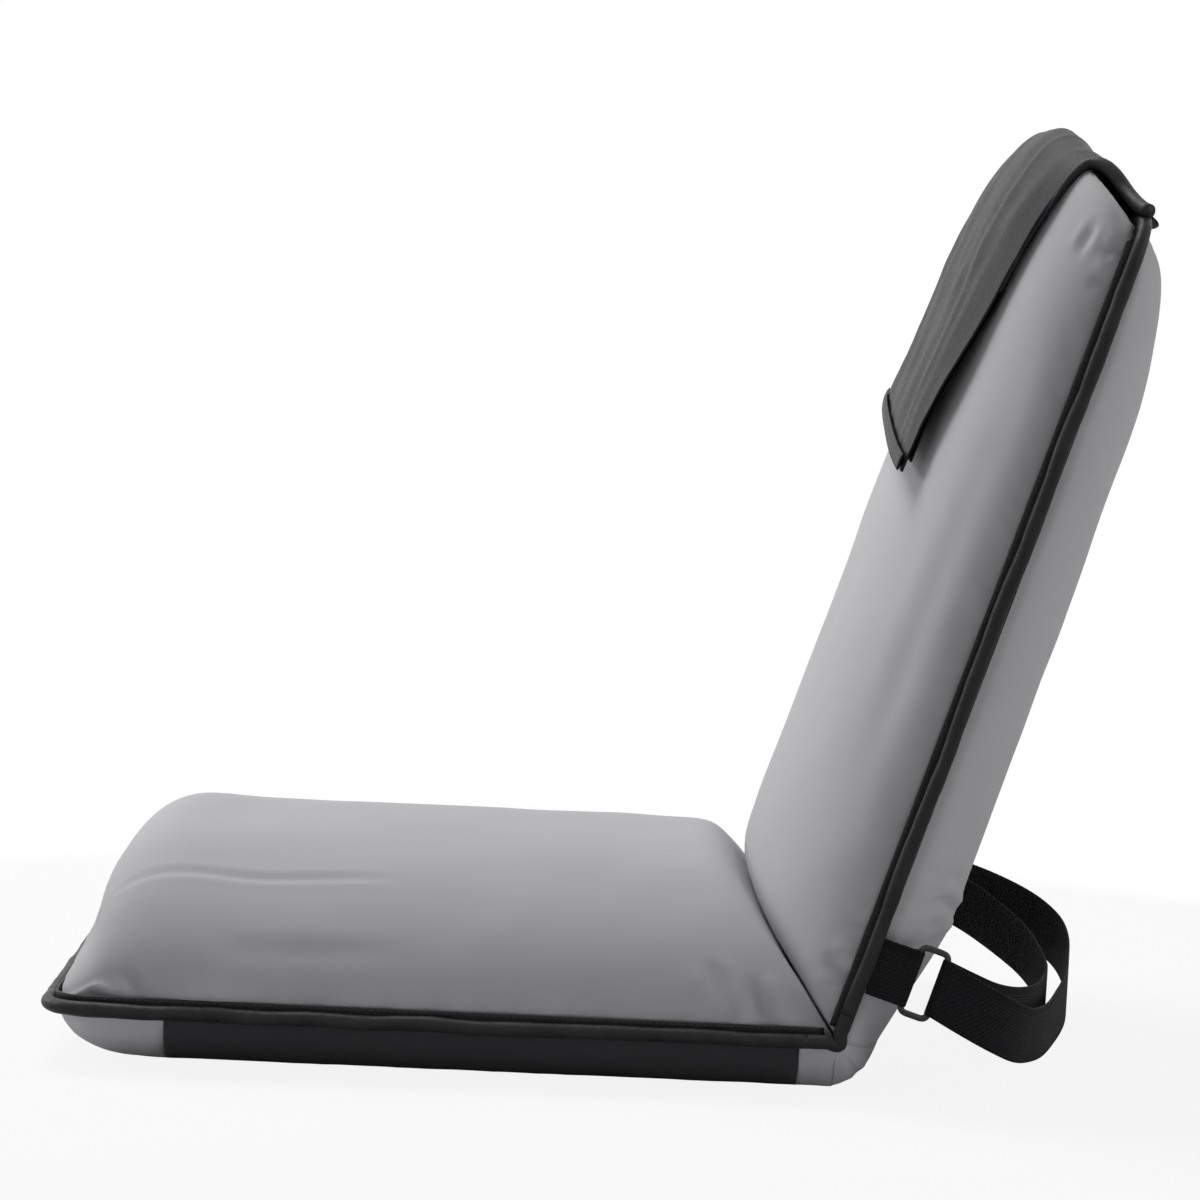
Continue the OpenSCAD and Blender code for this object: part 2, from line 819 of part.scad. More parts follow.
module seat_top_cover() color(plush) in_seat() top_cover(seat_form);

module seat_foam() color(foam_cream) in_seat() foam_block(seat_form);

module seat_support_cloth() color(black_cloth) in_seat() support_cloth(seat_l);

module seat_frame_tube() color(steel) in_seat() frame_tube(seat_l);

module seat_cross_bars() color(steel) in_seat() cross_bars(seat_l);

module seat_base_pad() {
    bottom = -seat_depth + cover_t + soft_gap;
    color(foam_cream)
        in_seat()
            translate([-pad_half_w, pad_start, bottom])
                cube([2 * pad_half_w, panel_end - pad_start, pad_top - bottom]);
}

module seat_front_strip() color(plush) in_seat() cloth(front_grid(cover_t), front_grid(0));

module antislip_panel() color(black_cloth) in_seat() seat_under_shell(panel_start, panel_end);

module seat_hinge_strip() color(plush) in_seat() seat_under_shell(0, panel_start);

module seat_piping() color(black_cloth) in_seat() piping(seat_l);

module seat_seam_tape() color(black_cloth) in_seat() seam_tape(seat_l);

module hinge_gusset() color(plush) cloth(gusset_grid(cover_t), gusset_grid(0));

// Hinges

module hinge_plates_left() color(dark_steel) hinge_plates(-1);

module hinge_plates_right() color(dark_steel) hinge_plates(1);

module pivot_rivet(side) {
    color(steel)
        at_hinge(side)
            headed_pin(pivot_r, hinge_stack, pivot_r + plate_t);
}

module pivot_rivet_left() pivot_rivet(-1);

module pivot_rivet_right() pivot_rivet(1);

module pawl_pin(side) {
    color(steel)
        at_hinge(side)
            at_pawl_pin()
                headed_pin(pawl_pin_r, hinge_stack + 2 * spring_l, pawl_pin_r + plate_t / 2);
}

module pawl_pin_left() pawl_pin(-1);

module pawl_pin_right() pawl_pin(1);

module pawl_spring(side) {
    color(dark_steel)
        at_hinge(side)
            at_pawl_pin()
                translate([side * (hinge_stack / 2 + spring_l / 2), 0, 0])
                    rotate([0, 90, 0])
                        difference() {
                            cylinder(h = spring_l - 2 * pin_gap, r = pawl_pin_r + plate_t, center = true);
                            cylinder(h = spring_l + overrun, r = pawl_pin_r + pin_gap, center = true);
                        }
}

module pawl_spring_left() pawl_spring(-1);

module pawl_spring_right() pawl_spring(1);

module seat_tube_rivets() color(steel) in_seat() tube_rivets();

module pawl(side) {
    color(steel)
        at_hinge(side)
            hinge_plate(sector_t, 0) pawl_outline();
}

module pawl_left() pawl(-1);

module pawl_right() pawl(1);

module sector(side) {
    color(dark_steel)
        at_hinge(side)
            hinge_plate(sector_t, 0) sector_outline();
}

module sector_left() sector(-1);

module sector_right() sector(1);

// Backrest

module back_front_cover() color(plush) in_back() top_cover(back_form);

module back_foam() color(foam_cream) in_back() foam_block(back_form);

module back_support_cloth() color(black_cloth) in_back() support_cloth(back_l);

module back_frame_tube() color(steel) in_back() frame_tube(back_l);

module back_cross_bars() color(steel) in_back() cross_bars(back_l);

// The rear pad reaches these shares of the rear cover's half width and length
pad_edge_share = 0.8;
pad_end_share = 0.92;
pad_col_shares = [for (u = col_shares) if (abs(u) < pad_edge_share) u];
pad_row_shares = [for (s = rear_row_shares) if (s > 0 && s < pad_end_share) s];

function rear_pad_grid(at_top) = [
    for (s = pad_row_shares)
        let (y = s * (end_of(back_l) - foam_inset))
        [for (u = pad_col_shares)
            [u * (cover_w / 2 - foam_inset), y, at_top ? pad_top : rear_z(u, y, foam_inset)]]
];

module back_rear_pad() color(foam_cream) in_back() cloth(rear_pad_grid(true), rear_pad_grid(false));

module back_rear_cover() color(plush) in_back() cloth(rear_grid(cover_t), rear_grid(0));

module back_seam_tape() color(black_cloth) in_back() seam_tape(back_l);

module back_piping() color(black_cloth) in_back() piping(back_l);

module back_tube_rivets() color(steel) in_back() tube_rivets();

// The flap's seam strip fills the room between the rear cover and the flap's tail
seam_strip_grid = [
    for (down = [flap_tail, flap_tail - hem_w / 2, flap_tail - hem_w])
        let (y = back_l - down)
        [for (c = flap_col_shares)
            let (x = c * flap_root)
            [x, y, rear_z(x / half_at(y, back_l, 0), y, 0) - 2 * fit_gap]]
];

module flap_seam_strip() {
    color(flap_black)
        in_back()
            cloth(seam_strip_grid, band_grid(flap_off - fit_gap, flap_tail, flap_tail - hem_w, true));
}

module strap_stub_left() color(webbing) strap_stub(-1);

module strap_stub_right() color(webbing) strap_stub(1);

// Head flap and carry strap

module head_flap() color(flap_black) in_back() cloth(flap_grid(flap_off + flap_t), flap_grid(flap_off));

module flap_hem() {
    off = flap_off + flap_t + fit_gap;
    color(flap_black)
        in_back()
            cloth(band_grid(off + flap_t, flap_drop, flap_drop - hem_w, false),
                band_grid(off, flap_drop, flap_drop - hem_w, false));
}

module strap_ring_left() color(black_cloth) strap_ring(-1);

module strap_ring_right() color(black_cloth) strap_ring(1);

module carry_strap() color(webbing) ribbon(strap_route_shares, strap_off);

module carry_strap_return() color(webbing) ribbon(return_route_shares, -strap_off);

seat_top_cover();
seat_foam();
seat_support_cloth();
seat_frame_tube();
seat_cross_bars();
seat_base_pad();
seat_front_strip();
antislip_panel();
seat_hinge_strip();
seat_piping();
seat_seam_tape();
hinge_gusset();
hinge_plates_left();
hinge_plates_right();
pivot_rivet_left();
pivot_rivet_right();
pawl_pin_left();
pawl_pin_right();
pawl_spring_left();
pawl_spring_right();
seat_tube_rivets();
pawl_left();
pawl_right();
back_front_cover();
back_foam();
back_support_cloth();
back_frame_tube();
back_cross_bars();
back_rear_pad();
back_rear_cover();
back_piping();
back_seam_tape();
sector_left();
sector_right();
back_tube_rivets();
flap_seam_strip();
strap_stub_left();
strap_stub_right();
head_flap();
flap_hem();
strap_ring_left();
strap_ring_right();
carry_strap();
carry_strap_return();
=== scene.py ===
"""Dress the folding floor chair: plush cushions, black binding, a coated head flap and a webbing strap."""

import logging
from dataclasses import dataclass, replace
from enum import Enum
from math import cos, pi, radians, sin

import bmesh
import bpy
import numpy as np
from mathutils import Matrix, Vector


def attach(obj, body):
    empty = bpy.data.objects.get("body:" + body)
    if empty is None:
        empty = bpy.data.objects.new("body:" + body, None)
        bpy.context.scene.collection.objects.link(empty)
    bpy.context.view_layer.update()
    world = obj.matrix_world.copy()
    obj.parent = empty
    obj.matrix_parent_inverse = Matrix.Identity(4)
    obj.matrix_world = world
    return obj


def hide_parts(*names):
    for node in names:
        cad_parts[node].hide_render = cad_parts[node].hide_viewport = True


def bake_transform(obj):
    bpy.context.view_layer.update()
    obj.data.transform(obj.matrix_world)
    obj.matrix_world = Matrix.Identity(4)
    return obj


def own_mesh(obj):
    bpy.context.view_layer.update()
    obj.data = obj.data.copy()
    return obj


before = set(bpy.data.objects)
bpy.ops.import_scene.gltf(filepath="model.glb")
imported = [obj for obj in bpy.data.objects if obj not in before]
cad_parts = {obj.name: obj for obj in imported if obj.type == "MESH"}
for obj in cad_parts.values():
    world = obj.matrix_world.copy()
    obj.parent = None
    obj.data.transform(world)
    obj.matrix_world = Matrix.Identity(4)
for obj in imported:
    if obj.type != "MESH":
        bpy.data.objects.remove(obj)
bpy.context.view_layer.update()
log = logging.getLogger("floor_chair")

Array, Piece = np.ndarray, bpy.types.Object
Tree, Node, Socket = bpy.types.NodeTree, bpy.types.Node, bpy.types.NodeSocket

# Sizes of the chair in metres, angles in radians.
HINGE_Y = 0.240
HINGE_Z = 0.041
RECLINE = radians(17.6)
CREASE = radians(53.8)
CREASE_GAP = 0.001
COVER_HALF = 0.2547
COVER_CORNER = 0.0257
END_ROOM = 0.0103
RUN_ON = 0.060
SEAM = 0.0005
PIPING_X = 0.260
PIPING_CORNER = 0.031
PIPING_R = 0.005
SEAT_DEPTH = 0.041
REAR_FOOT = 0.04988
GUSSET_TURN = radians(72.4)
# How far the seam holds the plush down; place and width of the groove beside it and of its gathers.
SEAM_HOLD = 0.012
SEAM_GROOVE = (0.006, 0.0035)
SEAM_GATHERS = (0.014, 0.012)
# Directions in a half's own frame, as one-row arrays: across, away from the hinge, towards the sitter.
RIGHT, AWAY, UP = np.eye(3)[:, None]


class Half(Enum):
    """The two halves that the hinge joins."""

    SEAT = "seat"
    BACK = "backrest"


def placed(points: Array, half: Half) -> Array:
    """Place points of a half's own frame in the chair's frame.

    Args:
        points: Across, away from the hinge, and towards the sitter, in the last axis.
        half: The half they belong to.

    Returns:
        The points in the chair's frame.
    """
    x, y, z = points[..., 0], points[..., 1], points[..., 2]
    if half is Half.SEAT:
        return np.stack([x, HINGE_Y - y, HINGE_Z + z], axis=-1)
    s, c = sin(RECLINE), cos(RECLINE)
    return np.stack([x, HINGE_Y + y * s - z * c, HINGE_Z + y * c + z * s], axis=-1)


def turned(vectors: Array, half: Half) -> Array:
    """Turn directions of a half's own frame into the chair's."""
    return placed(vectors, half) - placed(np.zeros_like(vectors), half)


def crown_share(u: Array, v: Array, across: float, along: float) -> Array:
    """Height share of a crown at shares of its half width and half length."""
    side = np.sqrt(np.clip(1 - np.abs(u) ** across, 0, None))
    return side * np.sqrt(np.clip(1 - np.abs(v) ** along, 0, None))


@dataclass(frozen=True)
class Outline:
    """The plan of a half: its length from the hinge axis to the piping's outer edge."""

    length: float

    @property
    def end(self) -> float:
        """Where the cover ends, inside the piping."""
        return self.length - END_ROOM

    @property
    def reach(self) -> float:
        """Half of the full outline's length."""
        return (self.end + RUN_ON) / 2

    @property
    def middle(self) -> float:
        """Middle of the full outline, which runs on past the hinge."""
        return self.reach - RUN_ON

    def half_at(self, y: Array) -> Array:
        """Half width of the cover at distances from the hinge."""
        past = np.clip(y - self.end + COVER_CORNER, 0, COVER_CORNER)
        return COVER_HALF - COVER_CORNER + np.sqrt(COVER_CORNER**2 - past**2)


SEAT_PLAN = Outline(0.540)
BACK_PLAN = Outline(0.597)


def smooth_along(values: Array, passes: int) -> Array:
    """Smooth points along the first axis, with its ends held."""
    for _ in range(passes):
        values = values.copy()
        values[1:-1] = (values[:-2] + 2 * values[1:-1] + values[2:]) / 4
    return values


def run_along(path: Array) -> Array:
    """Distance of each point of a path from its first one, along the path."""
    return np.concatenate([[0], np.cumsum(np.linalg.norm(np.diff(path, axis=0), axis=1))])


def unit(vectors: Array) -> Array:
    """Scale each of a list of vectors to unit length."""
    return vectors / np.linalg.norm(vectors, axis=1, keepdims=True)


def heading(path: Array) -> Array:
    """Unit direction of a path at each of its points."""
    return unit(np.gradient(path, axis=0))


def bell(distance: Array, centre: float, width: float) -> Array:
    """Rise to 1 around a distance and fall off to either side."""
    return np.exp(-(((distance - centre) / width) ** 2))


def edge_shares(count: int, power: float) -> Array:
    """Shares of a half width from -1 to 1, closer together near the edges."""
    t = np.linspace(-1, 1, count)
    return np.sign(t) * (1 - (1 - np.abs(t)) ** power)


def end_shares(count: int, power: float) -> Array:
    """Shares of a length from 0 to 1, closer together near 1."""
    return 1 - (1 - np.linspace(0, 1, count)) ** power


def side_name(name: str, side: int) -> str:
    """Name of a piece on the left side, -1, or the right one, 1."""
    return name + ("_left" if side < 0 else "_right")


def even(path: Array, count: int, carried: Array | None = None) -> Array:
    """Take points evenly spaced along a path.

    Args:
        path: Points in order.
        count: How many to return.
        carried: Optional value at each point, returned as a last column.

    Returns:
        The spaced points, with the same ends.
    """
    run = run_along(path)
    at = np.linspace(0, run[-1], count)
    columns = path if carried is None else np.column_stack([path, carried])
    return np.stack([np.interp(at, run, columns[:, k]) for k in range(columns.shape[1])], axis=1)


def eased(t: Array) -> Array:
    """Rise smoothly from 0 to 1, held at both ends."""
    t = np.clip(t, 0, 1)
    return t * t * (3 - 2 * t)


def swell_at(u: Array, v: Array, swell: float, power: float, onset: float) -> Array:
    """Swell past the end seam: largest at the crest, none at the seam.

    Args:
        u: Shares of the half width.
        v: Shares of the half length.
        swell: The largest swell.
        power: Exponent of the crown's end.
        onset: How late it sets in above the seam.

    Returns:
        How far each point moves away from the hinge.
    """
    q = crown_share(0 * v, np.clip(v, 0, None), power, power)
    top = (onset + 1) * ((onset + 1) / onset) ** onset
    return swell * np.sqrt(np.clip(1 - np.abs(u) ** 3, 0, None)) * q**onset * (1 - q) * top


def curved(points: Array, steps: int) -> Array:
    """Run a smooth curve through control points.

    Args:
        points: The control points.
        steps: Steps between two of them.

    Returns:
        The curve's points.
    """
    p = np.vstack([points[:1], points, points[-1:]])
    out = []
    for i in range(len(points) - 1):
        a, b, c, d = p[i : i + 4]
        for k in range(steps):
            t = k / steps
            bend = (2 * a - 5 * b + 4 * c - d) * t * t + (3 * b - a - 3 * c + d) * t**3
            out.append((2 * b + (c - a) * t + bend) / 2)
    out.append(points[-1])
    return np.array(out)


def normals_of(grid: Array) -> Array:
    """Unit normals of a grid of points, by its rows and columns."""
    n = np.cross(np.gradient(grid, axis=1), np.gradient(grid, axis=0))
    return n / np.maximum(np.linalg.norm(n, axis=-1, keepdims=True), 1e-9)


def fill_in(small: Array, rows: int, cols: int) -> Array:
    """Stretch a small grid of values over a larger one, smoothly."""
    a, b = small.shape
    r, c = np.linspace(0, a - 1.001, rows), np.linspace(0, b - 1.001, cols)
    i, j = r.astype(int), c.astype(int)
    s, t = (r - i)[:, None], (c - j)[None, :]
    s, t = eased(s), eased(t)
    corner = [small[np.ix_(i + di, j + dj)] for di in (0, 1) for dj in (0, 1)]
    return (1 - s) * ((1 - t) * corner[0] + t * corner[1]) + s * ((1 - t) * corner[2] + t * corner[3])


def lumps(rows: int, cols: int, cells: tuple[int, int], seed: int) -> Array:
    """Soft random unevenness over a grid, from about -1 to 1.

    Args:
        rows: Rows of the grid.
        cols: Columns of the grid.
        cells: How many lumps along and across.
        seed: Seed of the random draw.

    Returns:
        A value for each point.
    """
    draw = np.random.default_rng(seed)
    coarse = fill_in(draw.uniform(-1, 1, (cells[0] + 2, cells[1] + 2)), rows, cols)
    fine = fill_in(draw.uniform(-1, 1, (2 * cells[0] + 3, 2 * cells[1] + 3)), rows, cols)
    return coarse * 0.7 + fine * 0.3


def gathers(rows: int, cols: int, count: int, seed: int) -> Array:
    """Small random folds that run out of a seam, over a grid, from -1 to 1."""
    draw = np.random.default_rng(seed)
    return fill_in(draw.uniform(-1, 1, (3, count)), cols, rows).T


def over_surface(grid: Array) -> tuple[Array, Array, Array]:
    """Measure over a cushion's face.

    Args:
        grid: Its points, as (rows, columns, 3), the rows running to its end.

    Returns:
        Distances across from the middle, to the end, and to the nearest seam.
    """
    rows, cols = grid.shape[:2]
    run = run_along(grid[rows // 2])
    across = np.broadcast_to(run - run[cols // 2], (rows, cols))
    steps = np.linalg.norm(np.diff(grid, axis=0), axis=2)
    down = np.concatenate([np.zeros((1, cols)), np.cumsum(steps, axis=0)])
    to_end = down[-1] - down
    return across, to_end, np.minimum(across.max() - np.abs(across), to_end)


def raised(grid: Array, push: Array, up: int) -> Array:
    """Move a grid's points out along its normals, whose middle one faces up, 1, or down, -1."""
    normal = normals_of(grid)
    sign = 1.0 if normal[grid.shape[0] // 2, grid.shape[1] // 2, 2] * up > 0 else -1.0
    return grid + normal * push[..., None] * sign


def add_object(name: str, data: bpy.types.ID) -> Piece:
    """Add an object to the scene."""
    made = bpy.data.objects.new(name, data)
    bpy.context.scene.collection.objects.link(made)
    return made


def cloth_places(row: Array, column: Array) -> Array:
    """Cloth coordinates of a grid's points, from the points of one row and one column."""
    return np.stack(np.meshgrid(run_along(row), run_along(column)), axis=-1).reshape(-1, 2)


def mesh_object(name: str, points: Array, faces: list, uvs: Array | None = None) -> Piece:
    """Make a smooth-shaded mesh object.

    Args:
        name: The piece's name.
        points: Its vertices in the chair's frame.
        faces: Index tuples.
        uvs: Optional cloth coordinates per vertex, in metres.

    Returns:
        The object, linked to the scene, with its normals pointing outwards.
    """
    mesh = bpy.data.meshes.new(name)
    mesh.from_pydata([tuple(p) for p in points.reshape(-1, 3)], [], faces)
    bm = bmesh.new()
    bm.from_mesh(mesh)
    if uvs is not None:
        layer = bm.loops.layers.uv.new("cloth")
        for f in bm.faces:
            for loop in f.loops:
                loop[layer].uv = uvs[loop.vert.index]
    bmesh.ops.remove_doubles(bm, verts=bm.verts, dist=2e-6)
    bmesh.ops.recalc_face_normals(bm, faces=bm.faces)
    bm.to_mesh(mesh)
    bm.free()
    mesh.shade_smooth()
    return add_object(name, mesh)


def closed_cloth(name: str, outer: Array, inner: Array, half: Half | None = None) -> Piece:
    """Close two grids of points with the same rows and columns into one thick piece.

    Args:
        name: The piece's name.
        outer: One face, as (rows, columns, 3).
        inner: The other face.
        half: The half whose frame they are in, or None for the chair's.

    Returns:
        The object, with cloth coordinates along its columns and rows.
    """
    if half:
        outer, inner = placed(outer, half), placed(inner, half)
    rows, cols = outer.shape[:2]
    size = rows * cols
    at = np.arange(size).reshape(rows, cols)
    faces = []
    for i in range(rows - 1):
        for j in range(cols - 1):
            quad = (at[i, j], at[i, j + 1], at[i + 1, j + 1], at[i + 1, j])
            faces.append(quad)
            faces.append(tuple(size + q for q in reversed(quad)))
    edge = [*at[0, :], *at[1:, -1], *at[-1, -2::-1], *at[-2:0:-1, 0]]
    for a, b in zip(edge, edge[1:] + edge[:1]):
        faces.append((b, a, size + a, size + b))
    uv = cloth_places(outer[rows // 2], outer[:, cols // 2])
    return mesh_object(name, np.concatenate([outer.reshape(-1, 3), inner.reshape(-1, 3)]), faces,
                       np.concatenate([uv, uv]))


def swept(name: str, path: Array, sides: Array, ups: Array, section: Array,
          sizes: Array | None = None, closed: bool = False, half: Half | None = None) -> Piece:
    """Sweep a closed section along a path.

    Args:
        name: The piece's name.
        path: Points of the path.
        sides: The section's first direction, at each point or at all.
        ups: The section's second direction, likewise.
        section: The section's points, as (count, 2).
        sizes: Optional scale of the section at each point.
        closed: Whether the path joins up.
        half: The half whose frame the path is in, or None for the chair's.

    Returns:
        The swept object, with its ends filled.
    """
    if half:
        path, sides, ups = placed(path, half), turned(sides, half), turned(ups, half)
    n, k = len(path), len(section)
    scale = np.ones(n) if sizes is None else sizes
    across, along = section[None, :, :1] * sides[:, None], section[None, :, 1:] * ups[:, None]
    points = path[:, None] + scale[:, None, None] * (across + along)
    at = np.arange(n * k).reshape(n, k)
    faces = []
    for i in range(n if closed else n - 1):
        for j in range(k):
            here, there, step = at[i], at[(i + 1) % n], (j + 1) % k
            faces.append((here[j], here[step], there[step], there[j]))
    if not closed:
        faces += [tuple(at[0][::-1]), tuple(at[-1])]
    return mesh_object(name, points, faces, cloth_places(section, path))


def round_section(r: float, count: int) -> Array:
    """Points round a circle."""
    a = np.arange(count) * 2 * pi / count
    return np.stack([r * np.cos(a), r * np.sin(a)], axis=1)


def slab_section(width: float, thick: float) -> Array:
    """Section of a flat band with rounded edges, its width along the second direction."""
    r = thick / 2
    a = np.linspace(0, pi, 5)
    top = np.stack([r * np.cos(a), width / 2 - r + r * np.sin(a)], axis=1)
    bottom = np.stack([-r * np.cos(a), -(width / 2 - r) - r * np.sin(a)], axis=1)
    levels = np.linspace(width / 2 - r, -(width / 2 - r), 9)[1:-1]
    left = np.stack([np.full(7, -r), levels], axis=1)
    right = np.stack([np.full(7, r), levels[::-1]], axis=1)
    return np.vstack([top, left, bottom, right])


THREAD_SIDES = 5
THREAD_RINGS = ((-0.5, 0.0, -0.6), (-0.36, 0.8, 0.1), (0.0, 1.0, 0.45), (0.36, 0.8, 0.1), (0.5, 0.0, -0.6))


def stitches(name: str, path: Array, outs: Array, pitch: float, length: float, r: float,
             half: Half) -> Piece:
    """Lay a row of sewn threads along a path, each a bent tube through the thread's rings.

    Args:
        name: The piece's name.
        path: Points along the seam.
        outs: Directions out of the cloth at those points.
        pitch: Distance from one stitch to the next.
        length: Length of each visible thread.
        r: Radius of the thread.
        half: The half whose frame the path is in.

    Returns:
        One object with all the stitches.
    """
    path, outs = placed(path, half), turned(outs, half)
    run = run_along(path)

    def at(values: Array, distance: float) -> Array:
        """Value at a distance along the seam."""
        return np.array([np.interp(distance, run, values[:, k]) for k in range(3)])

    points, faces = [], []
    n, last = THREAD_SIDES, len(THREAD_RINGS) - 1
    for start in np.arange(pitch, run[-1] - pitch, pitch):
        centre, out = at(path, start), at(outs, start)
        ahead = at(path, start + length / 2) - centre
        ahead /= np.linalg.norm(ahead)
        out /= np.linalg.norm(out)
        side = np.cross(ahead, out)
        base = len(points)
        for along, size, lift in THREAD_RINGS:
            for k in range(n):
                a = 2 * pi * k / n
                ring = (side * cos(a) + out * sin(a)) * r * max(size, 0.3)
                points.append(centre + ahead * along * length + out * lift * r + ring)
        for i in range(last):
            for k in range(n):
                a, b = base + n * i + k, base + n * i + (k + 1) % n
                faces.append((a, b, b + n, a + n))
        faces += [tuple(base + k for k in reversed(range(n))), tuple(base + n * last + k for k in range(n))]
    return mesh_object(name, np.array(points), faces)


class Graph:
    """A node tree under construction."""

    def __init__(self, tree: Tree) -> None:
        """Keep the tree that nodes are added to."""
        self.tree = tree

    def add(self, kind: str, props: dict | None = None, **inputs: object) -> Node:
        """Add a node.

        Args:
            kind: The node's type, without its ShaderNode prefix.
            props: Settings of the node itself.
            **inputs: Values or output sockets, by input name with _ for spaces, or i0, i1 for indices.

        Returns:
            The node.
        """
        made = self.tree.nodes.new("ShaderNode" + kind)
        for key, value in (props or {}).items():
            setattr(made, key, value)
        self.feed(made, **inputs)
        return made

    def feed(self, node: Node, **inputs: object) -> None:
        """Set or link a node's inputs, named as for add()."""
        for key, value in inputs.items():
            index = int(key[1:]) if key[0] == "i" and key[1:].isdigit() else key.replace("_", " ")
            if isinstance(value, Socket):
                self.tree.links.new(value, node.inputs[index])
            else:
                node.inputs[index].default_value = value

    def math(self, operation: str, a: object, b: object = 0.0) -> Socket:
        """Add a math node and return its output."""
        return self.add("Math", {"operation": operation}, i0=a, i1=b).outputs[0]

    def times(self, a: object, b: object) -> Socket:
        """Multiply two values."""
        return self.math("MULTIPLY", a, b)

    def plus(self, a: object, b: object) -> Socket:
        """Add two values."""
        return self.math("ADD", a, b)

    def mix(self, share: object, a: object, b: object) -> Socket:
        """Mix two colours and return the result."""
        return self.add("Mix", {"data_type": "RGBA"}, i0=share, i6=a, i7=b).outputs[2]

    def spread(self, value: object, low: float, high: float) -> Socket:
        """Map a value from low..high to 0..1, held at the ends."""
        return self.add("MapRange", {"clamp": True}, i0=value, i1=low, i2=high).outputs[0]


Colour = tuple[float, float, float, float]


def grey(r: float, g: float, b: float) -> Colour:
    """Turn the display colour of a surface, 0 to 255, into a shader colour."""
    def linear(c: float) -> float:
        """Undo the display curve of one channel."""
        c /= 255
        return c / 12.92 if c <= 0.04045 else ((c + 0.055) / 1.055) ** 2.4
    return linear(r), linear(g), linear(b), 1.0


def shade(colour: Colour, share: float) -> Colour:
    """Darken or lighten a colour by a share."""
    return tuple(share * c for c in colour[:3]) + (1.0,)


def new_group(name: str, inputs: dict[str, tuple[str, object]],
              outputs: dict[str, str]) -> tuple[Graph, Node, Node]:
    """Start a shader node group.

    Args:
        name: The group's name.
        inputs: Socket kinds and default values by name.
        outputs: Socket kinds by name.

    Returns:
        The graph inside it, its input node and its output node.
    """
    tree = bpy.data.node_groups.new(name, "ShaderNodeTree")
    for label, (kind, value) in inputs.items():
        socket = tree.interface.new_socket(label, in_out="INPUT", socket_type=kind)
        socket.default_value = value
    for label, kind in outputs.items():
        tree.interface.new_socket(label, in_out="OUTPUT", socket_type=kind)
    return Graph(tree), tree.nodes.new("NodeGroupInput"), tree.nodes.new("NodeGroupOutput")


def new_material(name: str) -> tuple[bpy.types.Material, Graph]:
    """Start an empty material and return it with its graph."""
    made = bpy.data.materials.new(name)
    made.use_nodes = True
    made.node_tree.nodes.clear()
    return made, Graph(made.node_tree)


FLOAT, VECTOR = "NodeSocketFloat", "NodeSocketVector"
ORIGIN = (0, 0, 0)


class Effects:
    """Shader groups that several finishes share."""

    def __init__(self) -> None:
        """Build each group once."""
        self.mottle, self.weave = self._mottle(), self._weave()
        self.wear, self.creases = self._wear(), self._creases()

    @staticmethod
    def _mottle() -> Tree:
        """Uneven tone: broad patches, small clumps and single fibres."""
        g, given, out = new_group(
            "uneven_tone",
            {"Position": (VECTOR, ORIGIN), "Patch Scale": (FLOAT, 9.0), "Clump Scale": (FLOAT, 160.0),
             "Fibre Scale": (FLOAT, 900.0)},
            {"Patches": FLOAT, "Clumps": FLOAT, "Fibres": FLOAT})
        layers = (("Patch", "Patches", 2.0), ("Clump", "Clumps", 3.0), ("Fibre", "Fibres", 2.0))
        for label, plural, detail in layers:
            noise = g.add("TexNoise", Vector=given.outputs["Position"], Scale=given.outputs[label + " Scale"],
                          Detail=detail, Roughness=0.6)
            g.feed(out, **{plural: g.spread(noise.outputs[0], 0.3, 0.7)})
        return g.tree

    @staticmethod
    def _weave() -> Tree:
        """Threads over and under each other, as a height."""
        g, given, out = new_group(
            "basket_weave", {"Position": (VECTOR, ORIGIN), "Threads": (FLOAT, 500.0)}, {"Height": FLOAT})
        place = g.add("SeparateXYZ", i0=given.outputs["Position"])
        x, y = (g.times(place.outputs[k], given.outputs["Threads"]) for k in (0, 1))
        warp, weft = (g.math("ABSOLUTE", g.math("SINE", g.times(s, pi))) for s in (x, y))
        over = g.math("PINGPONG", g.plus(g.math("FLOOR", x), g.math("FLOOR", y)), 1.0)
        under = g.math("SUBTRACT", 1.0, over)
        g.feed(out, Height=g.plus(g.times(warp, over), g.times(weft, under)))
        return g.tree

    @staticmethod
    def _wear() -> Tree:
        """Worn edges and settled dust, as masks."""
        g, given, out = new_group(
            "wear_and_dust",
            {"Position": (VECTOR, ORIGIN), "Scale": (FLOAT, 60.0)},
            {"Worn": FLOAT, "Dust": FLOAT})
        edges = g.spread(g.add("NewGeometry").outputs["Pointiness"], 0.52, 0.6)
        noise = g.add("TexNoise", Vector=given.outputs["Position"], Scale=given.outputs["Scale"], Detail=4.0)
        up = g.add("SeparateXYZ", i0=g.add("NewGeometry").outputs["Normal"]).outputs[2]
        fine = g.add("TexNoise", Vector=given.outputs["Position"], Scale=340.0, Detail=3.0)
        g.feed(out, Worn=g.times(edges, g.spread(noise.outputs[0], 0.35, 0.65)),
               Dust=g.times(g.spread(up, 0.1, 1.0), g.spread(fine.outputs[0], 0.5, 0.75)))
        return g.tree

    @staticmethod
    def _creases() -> Tree:
        """Fine stretched creases of smooth cloth."""
        g, given, out = new_group(
            "fine_creases",
            {"Position": (VECTOR, ORIGIN), "Stretch": (VECTOR, (60.0, 6.0, 1.0))},
            {"Height": FLOAT, "Streaks": FLOAT})
        place = g.add("VectorMath", {"operation": "MULTIPLY"}, i0=given.outputs["Position"],
                      i1=given.outputs["Stretch"]).outputs[0]
        noise = g.add("TexNoise", Vector=place, Scale=1.0, Detail=3.0, Roughness=0.55, Distortion=0.4)
        g.feed(out, Height=noise.outputs[0], Streaks=g.spread(noise.outputs[0], 0.52, 0.7))
        return g.tree


